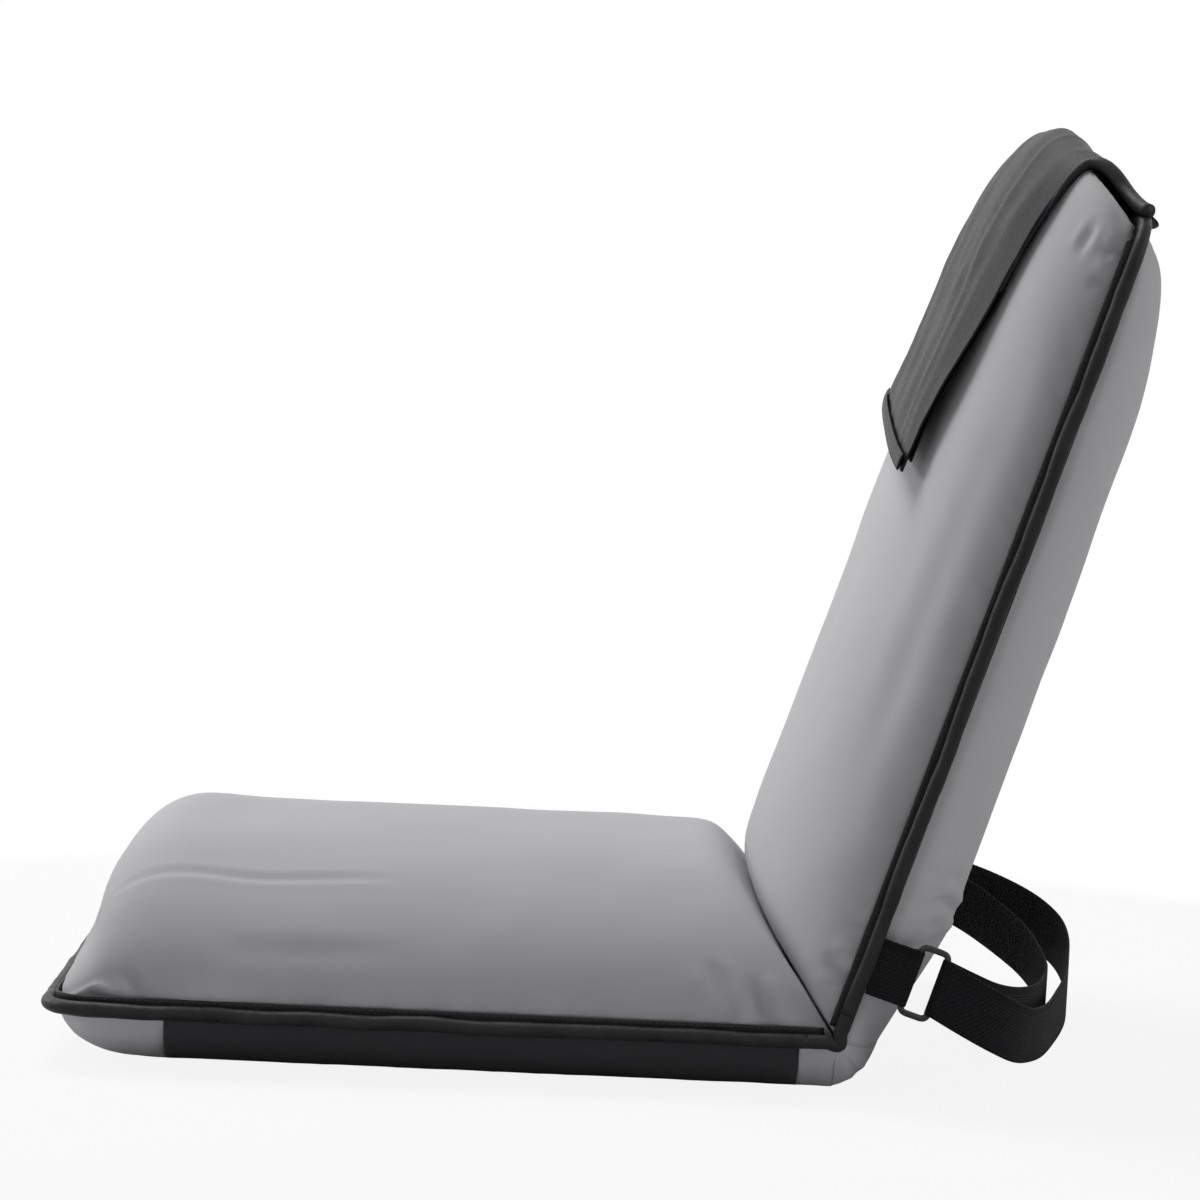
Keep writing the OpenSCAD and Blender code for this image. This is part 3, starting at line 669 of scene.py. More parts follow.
@dataclass(frozen=True)
class Finish:
    """A finish: one material, made on first use.

    Its scales are those of its patches, clumps and fibres per metre, its roughness is a least value and a
    spread over the surface, and its relief is a strength and a depth.
    """

    name: str
    colour: Colour
    scales: tuple[float, float, float]
    rough: float
    rough_spread: float
    relief: float
    relief_depth: float
    specular: float = 0.5
    metallic: float = 0.0
    sheen: float = 0.0
    sheen_rough: float = 0.5
    rough_by: str = "Clumps"

    def surface(self, g: Graph, effects: Effects) -> tuple[Socket, Socket, Node]:
        """Wire the surface.

        Args:
            g: The material's graph.
            effects: The shared shader groups.

        Returns:
            The colour, the height, and the uneven tone that both come from.
        """
        raise NotImplementedError

    def material(self, effects: Effects) -> bpy.types.Material:
        """Make or fetch the material.

        Args:
            effects: The shared shader groups.

        Returns:
            The finished material.
        """
        found = bpy.data.materials.get(self.name)
        if found:
            return found
        made, g = new_material(self.name)
        shader = g.add("BsdfPrincipled", Specular_IOR_Level=self.specular, Metallic=self.metallic,
                       Sheen_Weight=self.sheen, Sheen_Roughness=self.sheen_rough, Roughness=self.rough)
        colour, height, tone = self.surface(g, effects)
        raised = g.add("Bump", Strength=self.relief, Distance=self.relief_depth, Height=height)
        g.feed(shader, Base_Color=colour, Normal=raised.outputs[0])
        if self.rough_spread:
            uneven = g.times(tone.outputs[self.rough_by], self.rough_spread)
            g.feed(shader, Roughness=g.plus(self.rough, uneven))
        g.add("OutputMaterial", Surface=shader.outputs[0]).target = "ALL"
        return made

    @staticmethod
    def place(g: Graph) -> Socket:
        """Position on the piece itself, which stays with it as it moves."""
        return g.add("TexCoord").outputs["Object"]

    @staticmethod
    def cloth_place(g: Graph) -> Socket:
        """Cloth coordinates in metres."""
        return g.add("UVMap", {"uv_map": "cloth"}).outputs[0]

    @staticmethod
    def group(g: Graph, tree: Tree, **inputs: object) -> Node:
        """Place a shared group in the material."""
        return g.add("Group", {"node_tree": tree}, **inputs)

    def tone(self, g: Graph, effects: Effects, place: Socket) -> Node:
        """Place the uneven tone at the finish's own scales."""
        patch, clump, fibre = self.scales
        return self.group(g, effects.mottle, Position=place, Patch_Scale=patch, Clump_Scale=clump,
                          Fibre_Scale=fibre)


@dataclass(frozen=True)
class Plush(Finish):
    """Short-pile plush, with painted shade that darkens it where it is seen edge-on."""

    name: str = "plush"
    colour: Colour = grey(216, 214, 219)
    dark: Colour = grey(114, 111, 119)
    scales: tuple[float, float, float] = (14.0, 95.0, 420.0)
    patches: float = 0.15
    clumps: float = 0.22
    fibres: float = 0.34
    least: float = 0.2
    # Weight and darkness of the painted shade on rims seen edge-on.
    rim: float = 0.3
    rim_shade: float = 0.62
    rough: float = 0.82
    rough_spread: float = 0.14
    rough_by: str = "Fibres"
    relief: float = 0.8
    relief_depth: float = 0.0014
    specular: float = 0.15
    sheen: float = 0.22
    sheen_rough: float = 0.45

    def surface(self, g: Graph, effects: Effects) -> tuple[Socket, Socket, Node]:
        """Wire mottled tone, painted shade on the rims seen edge-on, and fibres."""
        tone = self.tone(g, effects, self.cloth_place(g))
        patches = g.times(tone.outputs["Patches"], self.patches)
        clumps = g.plus(self.least, g.times(tone.outputs["Clumps"], self.clumps))
        fibres = g.times(tone.outputs["Fibres"], self.fibres)
        base = g.mix(g.plus(patches, g.plus(clumps, fibres)), self.dark, self.colour)
        # Painted shade: the colour darkens towards the rims, where the surface is seen edge-on.
        edge_on_shade = g.add("LayerWeight", Blend=0.35).outputs["Facing"]
        colour = g.mix(g.times(edge_on_shade, self.rim), base, shade(self.dark, self.rim_shade))
        height = g.plus(tone.outputs["Fibres"], g.times(tone.outputs["Clumps"], 1.6))
        return colour, height, tone


@dataclass(frozen=True)
class Binding(Finish):
    """Satin black cloth drawn over cord."""

    name: str = "binding_cloth"
    colour: Colour = grey(38, 38, 40)
    dust: Colour = grey(120, 118, 122)
    scales: tuple[float, float, float] = (40.0, 300.0, 1600.0)
    rough: float = 0.36
    rough_spread: float = 0.2
    relief: float = 0.3
    relief_depth: float = 0.0006
    specular: float = 0.2

    def surface(self, g: Graph, effects: Effects) -> tuple[Socket, Socket, Node]:
        """Wire a fine weave, small puckers and a little dust."""
        place = self.place(g)
        tone = self.tone(g, effects, place)
        wear = self.group(g, effects.wear, Position=place, Scale=90.0)
        base = g.mix(tone.outputs["Patches"], shade(self.colour, 0.75), shade(self.colour, 1.5))
        dusty = g.mix(g.times(wear.outputs["Dust"], 0.06), base, self.dust)
        height = g.plus(tone.outputs["Clumps"], g.times(tone.outputs["Fibres"], 0.3))
        return dusty, height, tone


@dataclass(frozen=True)
class CoatedCloth(Finish):
    """Smooth black coated cloth with long soft creases."""

    name: str = "coated_flap_cloth"
    colour: Colour = grey(25, 25, 28)
    scales: tuple[float, float, float] = (14.0, 420.0, 2200.0)
    stretch: tuple[float, float, float] = (75.0, 5.0, 1.0)
    rough: float = 0.4
    rough_spread: float = 0.14
    relief: float = 0.35
    relief_depth: float = 0.0016
    specular: float = 0.16

    def surface(self, g: Graph, effects: Effects) -> tuple[Socket, Socket, Node]:
        """Wire streaks and a fine pebble."""
        tone = self.tone(g, effects, self.place(g))
        folds = self.group(g, effects.creases, Position=self.cloth_place(g), Stretch=self.stretch)
        base = g.mix(tone.outputs["Patches"], shade(self.colour, 0.8), self.colour)
        streaked = g.mix(g.times(folds.outputs["Streaks"], 0.55), base, shade(self.colour, 1.9))
        height = g.plus(g.times(tone.outputs["Clumps"], 0.12), folds.outputs["Height"])
        return streaked, height, tone


@dataclass(frozen=True)
class Webbing(Finish):
    """Coarse black webbing."""

    name: str = "strap_webbing"
    colour: Colour = grey(33, 33, 36)
    scales: tuple[float, float, float] = (35.0, 700.0, 2600.0)
    threads: float = 480.0
    rough: float = 0.55
    rough_spread: float = 0.25
    rough_by: str = "Fibres"
    relief: float = 0.9
    relief_depth: float = 0.0011
    specular: float = 0.12

    def surface(self, g: Graph, effects: Effects) -> tuple[Socket, Socket, Node]:
        """Wire the threads' height, with painted shade where they dip under and painted highlights on their
        raised tops.
        """
        woven = self.group(g, effects.weave, Position=self.cloth_place(g), Threads=self.threads)
        weave = woven.outputs["Height"]
        tone = self.tone(g, effects, self.place(g))
        # Painted shade: darker where the weave's height is low, between and under the threads.
        base = g.mix(weave, shade(self.colour, 0.45), self.colour)
        # Painted highlight: lighter on the raised tops of the threads.
        raised = g.times(g.spread(weave, 0.75, 1.0), tone.outputs["Clumps"])
        colour = g.mix(g.times(raised, 0.7), base, shade(self.colour, 2.1))
        return colour, g.plus(weave, g.times(tone.outputs["Fibres"], 0.3)), tone


@dataclass(frozen=True)
class PanelCloth(Webbing):
    """Dense woven cloth with a grippy back, on the underside and over the frame."""

    name: str = "panel_cloth"
    colour: Colour = grey(20, 20, 22)
    threads: float = 900.0


@dataclass(frozen=True)
class Thread(Finish):
    """Black sewing thread."""

    name: str = "black_thread"
    colour: Colour = grey(34, 34, 37)
    scales: tuple[float, float, float] = (60.0, 1500.0, 4000.0)
    rough: float = 0.45
    rough_spread: float = 0.0
    relief: float = 0.5
    relief_depth: float = 0.0003

    def surface(self, g: Graph, effects: Effects) -> tuple[Socket, Socket, Node]:
        """Wire the twist of the thread."""
        tone = self.tone(g, effects, self.place(g))
        colour = g.mix(g.times(tone.outputs["Clumps"], 0.6), self.colour, shade(self.colour, 2.4))
        return colour, tone.outputs["Fibres"], tone


@dataclass(frozen=True)
class MouldedPlastic(Finish):
    """Black moulded plastic with a fine grain."""

    name: str = "moulded_plastic"
    colour: Colour = grey(30, 30, 31)
    rubbed: Colour = grey(92, 92, 94)
    scales: tuple[float, float, float] = (30.0, 900.0, 2500.0)
    rough: float = 0.34
    rough_spread: float = 0.16
    relief: float = 0.2
    relief_depth: float = 0.0003

    def surface(self, g: Graph, effects: Effects) -> tuple[Socket, Socket, Node]:
        """Wire the mould's grain and rubbed edges."""
        place = self.place(g)
        tone = self.tone(g, effects, place)
        wear = self.group(g, effects.wear, Position=place, Scale=200.0)
        base = g.mix(tone.outputs["Patches"], self.colour, shade(self.colour, 1.35))
        rubbed = g.mix(g.times(wear.outputs["Worn"], 0.5), base, self.rubbed)
        return rubbed, tone.outputs["Clumps"], tone


@dataclass(frozen=True)
class Steel(Finish):
    """Steel with brushed or rolled streaks, plated or painted."""

    name: str = "zinc_plate"
    colour: Colour = grey(176, 178, 182)
    worn: Colour = grey(205, 206, 208)
    dust: Colour = grey(130, 127, 122)
    scales: tuple[float, float, float] = (25.0, 240.0, 1500.0)
    streak: float = 700.0
    metallic: float = 1.0
    rough: float = 0.32
    rough_spread: float = 0.18
    relief: float = 0.15
    relief_depth: float = 0.0004

    def surface(self, g: Graph, effects: Effects) -> tuple[Socket, Socket, Node]:
        """Wire streaks, patches, dust and worn edges."""
        place = self.place(g)
        tone = self.tone(g, effects, place)
        wear = self.group(g, effects.wear, Position=place, Scale=120.0)
        folds = self.group(g, effects.creases, Position=place, Stretch=(self.streak, 20.0, self.streak))
        base = g.mix(tone.outputs["Patches"], shade(self.colour, 0.72), self.colour)
        worn = g.mix(g.times(wear.outputs["Worn"], 0.6), base, self.worn)
        dusty = g.mix(g.times(wear.outputs["Dust"], 0.2), worn, self.dust)
        return dusty, folds.outputs["Height"], tone


PLUSH, BINDING, FLAP_CLOTH, THREAD = Plush(), Binding(), CoatedCloth(), Thread()
WEBBING, PANEL, PLASTIC = Webbing(), PanelCloth(), MouldedPlastic()
ZINC = Steel()
BRIGHT = Steel(name="bright_steel", colour=grey(205, 206, 208), rough=0.24)
PAINTED = Steel(name="powder_coat", colour=grey(52, 52, 55), metallic=0.0, rough=0.5, streak=160.0)


class Dresser:
    """Gives each piece its finish, its body and the nodes that it stands for."""

    def __init__(self) -> None:
        """Build the shared effects once."""
        self.effects = Effects()

    def paint(self, piece: Piece, finish: Finish) -> None:
        """Give a piece one material."""
        piece.data.materials.clear()
        piece.data.materials.append(finish.material(self.effects))

    def dress(self, piece: Piece, finish: Finish, body: str | None = None,
              stands_for: tuple[str, ...] = ()) -> Piece:
        """Finish a new piece.

        Args:
            piece: The object.
            finish: Its finish.
            body: The body it rides on, or None where it lies between two.
            stands_for: The nodes that it replaces.

        Returns:
            The same object.
        """
        self.paint(piece, finish)
        if stands_for:
            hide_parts(*stands_for)
        if body:
            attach(piece, body)
        log.info("%s: %d faces, rides on %s", piece.name, len(piece.data.polygons), body or "two bodies")
        return piece


def bend_at_hinge(piece: Piece) -> None:
    """Bake the placement of a piece that lies between seat and backrest, within a reach of the hinge, into
    its mesh.
    """
    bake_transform(piece)


def bend_at_hinge_below(piece: Piece) -> None:
    """Bake the placement of a piece under the hinge, from the seat's underside to the backrest's rear, into
    its mesh.
    """
    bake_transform(piece)


@dataclass(frozen=True)
class Stroke:
    """A crease or a swelling pressed into a cushion along a line of its surface.

    Its points are distances across from the middle line and away from the hinge, on the surface.
    """

    line: tuple[tuple[float, float], ...]
    width: float
    depth: float
    lip: float = 0.5

    def mirrored(self, depth: float | None = None) -> "Stroke":
        """The same stroke on the other side, with its own depth where one is given."""
        line = tuple((-x, y) for x, y in self.line)
        return replace(self, line=line, depth=self.depth if depth is None else depth)

    def push(self, across: Array, along: Array) -> Array:
        """Displacement at surface places.

        Args:
            across: Distance of each point from the middle line, over the surface.
            along: Distance of each point from the hinge.

        Returns:
            How far each point moves outwards.
        """
        best = np.full(across.shape, 1e9)
        share = np.zeros(across.shape)
        pieces = len(self.line) - 1
        for i, (a, b) in enumerate(zip(self.line, self.line[1:])):
            d = np.subtract(b, a)
            t = np.clip(((across - a[0]) * d[0] + (along - a[1]) * d[1]) / (d @ d), 0, 1)
            away = np.hypot(across - a[0] - t * d[0], along - a[1] - t * d[1])
            near = away < best
            best = np.where(near, away, best)
            share = np.where(near, (i + t) / pieces, share)
        taper = np.sqrt(np.clip(4 * share * (1 - share), 0, 1)) if pieces > 0 else 1.0
        core = bell(best, 0.0, self.width)
        lips = bell(best, 1.9 * self.width, self.width)
        return taper * self.depth * (-core + self.lip * lips)


@dataclass
class Cushion:
    """A crowned plush cushion over foam, cut by the crease at its hinge end."""

    name: str
    half: Half
    plan: Outline
    crown: float
    stands_for: tuple[str, ...]
    fill: float
    strokes: tuple[Stroke, ...] = ()
    seed: int = 1
    rows: int = 132
    cols: int = 137
    spread: float = 1.55
    lump: float = 0.0016
    groove: float = 0.0022
    gather: float = 0.0007
    end_power: float = 9.4
    onset: float = 3.5
    swell: float = 0.0
    dip: float = 0.0
    shoulder: float = 0.0
    under: float = -0.003
    dense: int = 480
    softening: int = 130
    soft_reach: float = 0.045

    def crown_z(self, u: Array, y: Array) -> Array:
        """Height of the crown at shares of the half width and distances from the hinge."""
        v = (y - self.plan.middle) / self.plan.reach
        return SEAM + (self.crown - SEAM) * crown_share(u, v, 3, self.end_power)

    @staticmethod
    def crease_y(z: Array) -> Array:
        """Where the crease lies at a height."""
        return (z * cos(CREASE) + CREASE_GAP) / sin(CREASE)

    def column(self, u: float) -> Array:
        """Profile of one column, from the crease's foot over the crown to the end.

        Args:
            u: Share of the half width.

        Returns:
            Evenly spaced rows of distance from the hinge, height, and the distance before the swell.
        """
        start = RUN_ON
        for _ in range(8):
            start = float(self.crease_y(self.crown_z(np.array(u), np.array(start))))
        top = float(self.crown_z(np.array(u), np.array(start)))
        wall_z = np.linspace(SEAM, top, 60)
        wall = np.stack([self.crease_y(wall_z), wall_z], axis=1)
        y = start + end_shares(400, 2.4)[1:] * (self.plan.end - start)
        v = (y - self.plan.middle) / self.plan.reach
        past = y + swell_at(np.full_like(y, u), v, self.swell, self.end_power, self.onset)
        crown = np.stack([past, self.crown_z(np.full_like(y, u), y)], axis=1)
        dense = even(np.vstack([wall, crown]), self.dense, np.concatenate([wall[:, 0], y]))
        soft = smooth_along(dense, self.softening)
        corner = np.argmin(np.hypot(dense[:, 0] - start, dense[:, 1] - top))
        run = np.abs(np.arange(self.dense) - corner) * np.linalg.norm(dense[1, :2] - dense[0, :2])
        blend = np.exp(-((run / self.soft_reach) ** 4))[:, None]
        mixed = dense * (1 - blend) + soft * blend
        return even(mixed[:, :2], self.rows, mixed[:, 2])

    def surface(self) -> tuple[Array, Array]:
        """The plain upper face in its half's frame, and its distances from the hinge before the swell."""
        shares = edge_shares(self.cols, self.spread)
        profiles = np.stack([self.column(u) for u in shares], axis=1)
        y, z, before = (profiles[..., k] for k in range(3))
        return np.stack([shares[None, :] * self.plan.half_at(before), y, z], axis=-1), before

    def shaped(self) -> tuple[Array, Array]:
        """The upper face with its groove, lumps and creases, and its distances before the swell."""
        grid, before = self.surface()
        across, to_end, seam = over_surface(grid)
        hold = 1 - bell(seam, 0.0, SEAM_HOLD)
        form = self.shoulder * bell(to_end, 0.120, 0.034) - self.dip * bell(to_end, 0.045, 0.024)
        push = (form + self.lump * lumps(self.rows, self.cols, (9, 7), self.seed)) * hold
        push = push - self.groove * bell(seam, *SEAM_GROOVE)
        folds = gathers(self.rows, self.cols, 90, self.seed + 50)
        push = push + self.gather * folds * bell(seam, *SEAM_GATHERS)
        for stroke in self.strokes:
            push = push + stroke.push(across, grid[..., 1]) * hold
        return raised(grid, push, 1), before

    def build(self, dresser: Dresser) -> Piece:
        """Make the cushion and dress it."""
        top, before = self.shaped()
        bottom = top.copy()
        bottom[..., 1] = before
        bottom[..., 2] = self.under
        top[:, 0, 2] = top[:, -1, 2] = SEAM
        piece = closed_cloth(self.name, top, bottom, self.half)
        dresser.dress(piece, PLUSH, self.half.value, self.stands_for)
        return piece


def rear_depth(y: Array) -> Array:
    """Full depth of the backrest's rear at distances from the hinge, greatest just above its foot."""
    full = 0.058 + 0.008 * (1 - y / BACK_PLAN.length)
    return REAR_FOOT + (full - REAR_FOOT) * eased(y / 0.0928)


@dataclass
class RearCushion:
    """The padded rear of the backrest."""

    name: str = "back_rear_cushion"
    rows: int = 120
    cols: int = 121
    spread: float = 1.6
    lump: float = 0.0018
    groove: float = 0.0018
    gather: float = 0.0006
    foot: float = 0.004
    strokes: tuple[Stroke, ...] = ()

    @staticmethod
    def rear_z(u: Array, y: Array) -> Array:
        """Depth of the rear behind its seam."""
        v = (y - BACK_PLAN.middle) / BACK_PLAN.reach
        return -SEAM - (rear_depth(y) - SEAM) * crown_share(u, v, 4, 6)

    def build(self, dresser: Dresser) -> Piece:
        """Make the rear and dress it."""
        shares = edge_shares(self.cols, self.spread)
        y = end_shares(400, 2.2) * BACK_PLAN.end
        columns = [even(np.stack([y, self.rear_z(np.full_like(y, u), y)], axis=1), self.rows) for u in shares]
        profiles = np.stack(columns, axis=1)
        y, z = profiles[..., 0], profiles[..., 1]
        grid = np.stack([shares[None, :] * BACK_PLAN.half_at(y), y, z], axis=-1)
        across, _, seam = over_surface(grid)
        hold = (1 - bell(seam, 0.0, SEAM_HOLD)) * (1 - bell(y, 0.0, SEAM_HOLD))
        push = self.lump * lumps(self.rows, self.cols, (8, 6), 11) * hold
        push = push - self.groove * bell(seam, *SEAM_GROOVE) * (y > self.foot)
        folds = gathers(self.rows, self.cols, 84, 31)
        push = push + self.gather * folds * bell(seam, *SEAM_GATHERS) * hold
        for stroke in self.strokes:
            push = push + stroke.push(across, y) * hold
        grid = raised(grid, push, -1)
        front = grid.copy()
        front[..., 2] = 0.0
        piece = closed_cloth(self.name, grid, front, Half.BACK)
        dresser.dress(piece, PLUSH, "backrest", ("back_rear_cover", "back_rear_pad"))
        return piece


@dataclass
class Underside:
    """The seat's underside: the black panel between two plush strips, and the frame's support cloths."""

    panel_start: float = 0.025
    panel_end: float = 0.455
    depth: float = SEAT_DEPTH
    cloth: float = 0.003

    def under_z(self, u: Array, fall: Array, inset: float) -> Array:
        """Depth of the underside at shares of the half width."""
        rise = np.minimum(1, 1.06 * crown_share(u, np.zeros_like(u), 10, 10))
        return -SEAM - (self.depth - SEAM - inset) * rise * fall

    def strip(self, name: str, start: float, end: float, fold: float, seed: int) -> Piece:
        """Make one strip of the underside.

        Args:
            name: The piece's name.
            start: Distance from the hinge where it starts.
            end: Distance from the hinge where it ends.
            fold: Depth of its small folds.
            seed: Seed of their random draw.

        Returns:
            The strip, closed and as thick as its cloth.
        """
        shares = edge_shares(121, 2.0)
        rows = max(12, int((end - start) / 0.005))
        y = np.linspace(start, end, rows)
        if end > self.panel_end:
            y = start + end_shares(rows + 16, 2) * (end - start)
        s = np.clip((y - self.panel_end) / (SEAT_PLAN.end - self.panel_end), 0, 1)[:, None]
        faces = []
        for inset in (0.0, self.cloth):
            x = shares[None, :] * SEAT_PLAN.half_at(y)[:, None] * (1 - inset / COVER_HALF)
            z = self.under_z(np.broadcast_to(shares, x.shape), np.sqrt(1 - s**3), inset)
            faces.append(np.stack([x, np.broadcast_to(y[:, None], x.shape), z], axis=-1))
        wave = lumps(len(y), len(shares), (max(2, len(y) // 7), 14), seed)
        within = 1 - np.abs(shares) ** 40
        side = np.clip((np.abs(shares) - 0.8) / 0.1, 0, 1) * within
        push = fold * np.abs(wave) * np.maximum(side, s**2 * within)
        inwards = np.stack([-np.sign(faces[0][..., 0]), np.zeros_like(push), np.ones_like(push)], axis=-1)
        outer, inner = (face + inwards * push[..., None] for face in faces)
        return closed_cloth(name, outer, inner, Half.SEAT)

    def support(self, half: Half, plan: Outline, node: str, dresser: Dresser) -> Piece:
        """Make the cloth stretched over a half's frame, sagging a little between its bars."""
        wide = 0.223
        y = np.linspace(0.0624, plan.length - 0.042, 71)
        xx, yy = np.meshgrid(np.linspace(-wide, wide, 61), y)
        sag = 0.0012 * np.cos(xx / wide * pi / 2) * np.abs(np.sin((yy - y[0]) / (y[-1] - y[0]) * 3 * pi))
        faces = [np.stack([xx, yy, np.full_like(xx, z) + sag * 0.2], axis=-1) for z in (0.0099, 0.0083)]
        piece = closed_cloth(node.replace("_cloth", "_weave"), *faces, half)
        dresser.dress(piece, PANEL, half.value, (node,))
        return piece

    def build(self, dresser: Dresser) -> None:
        """Make and dress all the underside's pieces."""
        panel = self.strip("underside_panel", self.panel_start, self.panel_end, 0.0012, 3)
        dresser.dress(panel, PANEL, "seat", ("antislip_panel", "seat_base_pad"))
        hinge = self.strip("seat_hinge_cover", 0.0, self.panel_start, 0.0016, 4)
        dresser.dress(hinge, PLUSH, "seat", ("seat_hinge_strip",))
        front = self.strip("seat_front_cover", self.panel_end, SEAT_PLAN.end, 0.0022, 5)
        dresser.dress(front, PLUSH, "seat", ("seat_front_strip",))
        self.support(Half.SEAT, SEAT_PLAN, "seat_support_cloth", dresser)
        self.support(Half.BACK, BACK_PLAN, "back_support_cloth", dresser)


@dataclass
class Edging:
    """A half's piping and the stitched band that joins it to the plush."""

    half: Half
    plan: Outline
    prefix: str
    start: float = 0.020
    seed: int = 5
    sway: float = 0.0007
    rise: float = 0.0009
    swelling: float = 0.06
    band_inset: float = 0.0052
    band_lift: float = 0.0014
    band_width: float = 0.0146
    band_thick: float = 0.0014
    seam_inset: float = 0.0046
    seam_lift: float = 0.0071
    pitch: float = 0.0046
    stitch: float = 0.0031
    thread: float = 0.00038

    def path(self, inset: float, start: float, step: float = 0.004) -> tuple[Array, Array]:
        """Follow the half's edge from its hinge end, round both corners and back.

        Args:
            inset: Distance inside the piping's centre line.
            start: Distance from the hinge where it starts and ends.
            step: Distance between points.

        Returns:
            The points in the half's frame and the outward directions.
        """
        r = PIPING_CORNER - inset
        x, y = PIPING_X - PIPING_CORNER, self.plan.length - 0.036
        turn = np.linspace(0, pi / 2, 15)[1:-1]
        side = np.arange(start, y, step)
        points = [(x + r, v) for v in side] + [(x + r * cos(a), y + r * sin(a)) for a in turn]
        outs = [(1, 0)] * len(side) + [(cos(a), sin(a)) for a in turn]
        end = np.arange(x, -x, -step)
        points += [(v, y + r) for v in end]
        outs += [(0, 1)] * len(end)
        points += [(-x - r * sin(a), y + r * cos(a)) for a in turn]
        outs += [(-sin(a), cos(a)) for a in turn]
        points += [(-x - r, v) for v in side[::-1]]
        outs += [(-1, 0)] * len(side)
        flat = np.array(points)
        return (np.column_stack([flat, np.zeros(len(flat))]),
                np.column_stack([np.array(outs, float), np.zeros(len(flat))]))

    def build(self, dresser: Dresser) -> None:
        """Make and dress the piping, its band and the stitches."""
        path, outs = self.path(0.0, self.start)
        draw = np.random.default_rng(self.seed)
        n = len(path)
        sway = fill_in(draw.uniform(-1, 1, (3, n // 9)), 3, n)
        thick = fill_in(draw.uniform(-1, 1, (2, n // 3)), 2, n)[0]
        hold = np.clip(np.minimum(np.arange(n), np.arange(n)[::-1]) / 8, 0, 1)
        path = path + outs * (self.sway * sway[0] * hold)[:, None]
        path[:, 2] += self.rise * sway[1] * hold
        cord = swept(self.prefix + "_piping_cord", path, outs, UP, round_section(PIPING_R, 14),
                     1 + self.swelling * thick * hold, half=self.half)
        dresser.dress(cord, BINDING, self.half.value, (self.prefix + "_piping",))
        path, outs = self.path(self.band_inset, self.start - 0.011)
        path[:, 2] = self.band_lift
        band = swept(self.prefix + "_binding_band", path, outs, UP,
                     slab_section(self.band_width, self.band_thick), half=self.half)
        dresser.dress(band, BINDING, self.half.value, (self.prefix + "_seam_tape",))
        path, outs = self.path(self.seam_inset, self.start - 0.008)
        path[:, 2] = self.seam_lift
        seam = stitches(self.prefix + "_binding_stitches", path, outs, self.pitch, self.stitch, self.thread,
                        self.half)
        dresser.dress(seam, THREAD, self.half.value)


@dataclass
class HingeCloth:
    """The cloth that crosses the hinge: gusset, web in the crease, and the piping's bends."""

    steps: int = 40
    thick: float = 0.003

    def gusset_radius(self, u: Array, k: Array) -> Array:
        """Distance of the gusset from the hinge axis."""
        seat = SEAT_DEPTH * np.minimum(1, 1.06 * crown_share(u, np.zeros_like(u), 10, 2))
        back = REAR_FOOT * crown_share(u, np.full_like(u, BACK_PLAN.middle / BACK_PLAN.reach), 4, 6)
        return seat + (back - seat) * k

    def gusset(self) -> Piece:
        """Make the gusset under the hinge, with folds that fan out from its ends."""
        kk, uu = np.meshgrid(np.linspace(0, 1, self.steps), edge_shares(131, 1.9), indexing="ij")
        radius = self.gusset_radius(uu, kk)
        side = np.clip((np.abs(uu) - 0.55) / 0.4, 0, 1) ** 2 * (1 - np.abs(uu) ** 30)
        fan = np.sin(kk * 5.3 * pi + 0.7 * uu) + 0.6 * np.sin(kk * 9.1 * pi + 1.3)
        ease = np.sin(kk * pi) ** 0.6
        folds = -0.0015 * side * ease * (1 + fan) / 2 - 0.0009 * ease * np.abs(lumps(*uu.shape, (4, 12), 8))
        faces = []
        for inset in (0.0, self.thick):
            r = np.maximum(radius - inset + folds, 0.0006 * (1 + inset))
            a = GUSSET_TURN * kk
            x = uu * (COVER_HALF - inset)
            faces.append(np.stack([x, HINGE_Y + r * np.sin(a), HINGE_Z - r * np.cos(a)], axis=-1))
        return closed_cloth("hinge_gusset_cover", *faces)

    def web(self) -> Piece:
        """Make the strip of plush at the bottom of the crease, over the hinges."""
        a = np.linspace(radians(3), radians(104.6), 36)
        x = np.linspace(-0.232, 0.232, 91)
        aa, xx = np.meshgrid(a, x, indexing="ij")
        ripple = 0.0006 * lumps(*aa.shape, (4, 16), 21)
        faces = []
        for r in (0.0262 + ripple, 0.0238 + ripple):
            faces.append(np.stack([xx, HINGE_Y - r * np.cos(aa), HINGE_Z + r * np.sin(aa)], axis=-1))
        return closed_cloth("crease_web", *faces)

    @staticmethod
    def piping_bend(side: int) -> Piece:
        """Make the piece of piping that turns at the hinge.

        Args:
            side: -1 for the left side, 1 for the right one.

        Returns:
            The bent tube.
        """
        seat = placed(np.array([[side * PIPING_X, y, 0.0] for y in np.linspace(0.0206, 0.006, 6)]), Half.SEAT)
        back = placed(np.array([[side * PIPING_X, y, 0.0] for y in np.linspace(0.006, 0.0206, 6)]), Half.BACK)
        tip = np.array([[side * PIPING_X, HINGE_Y + 0.0012, HINGE_Z - 0.0016]])
        path = even(curved(np.vstack([seat, tip, back]), 8), 44)
        return swept(side_name("piping_bend", side), path, RIGHT, np.cross(heading(path), RIGHT),
                     round_section(PIPING_R * 0.99, 14))

    def build(self, dresser: Dresser) -> None:
        """Make and dress the cloth that crosses the hinge."""
        gusset = dresser.dress(self.gusset(), PLUSH, None, ("hinge_gusset",))
        bend_at_hinge_below(gusset)
        web = dresser.dress(self.web(), PLUSH)
        bend_at_hinge(web)
        for side in (-1, 1):
            bend = dresser.dress(self.piping_bend(side), BINDING)
            bend_at_hinge(bend)


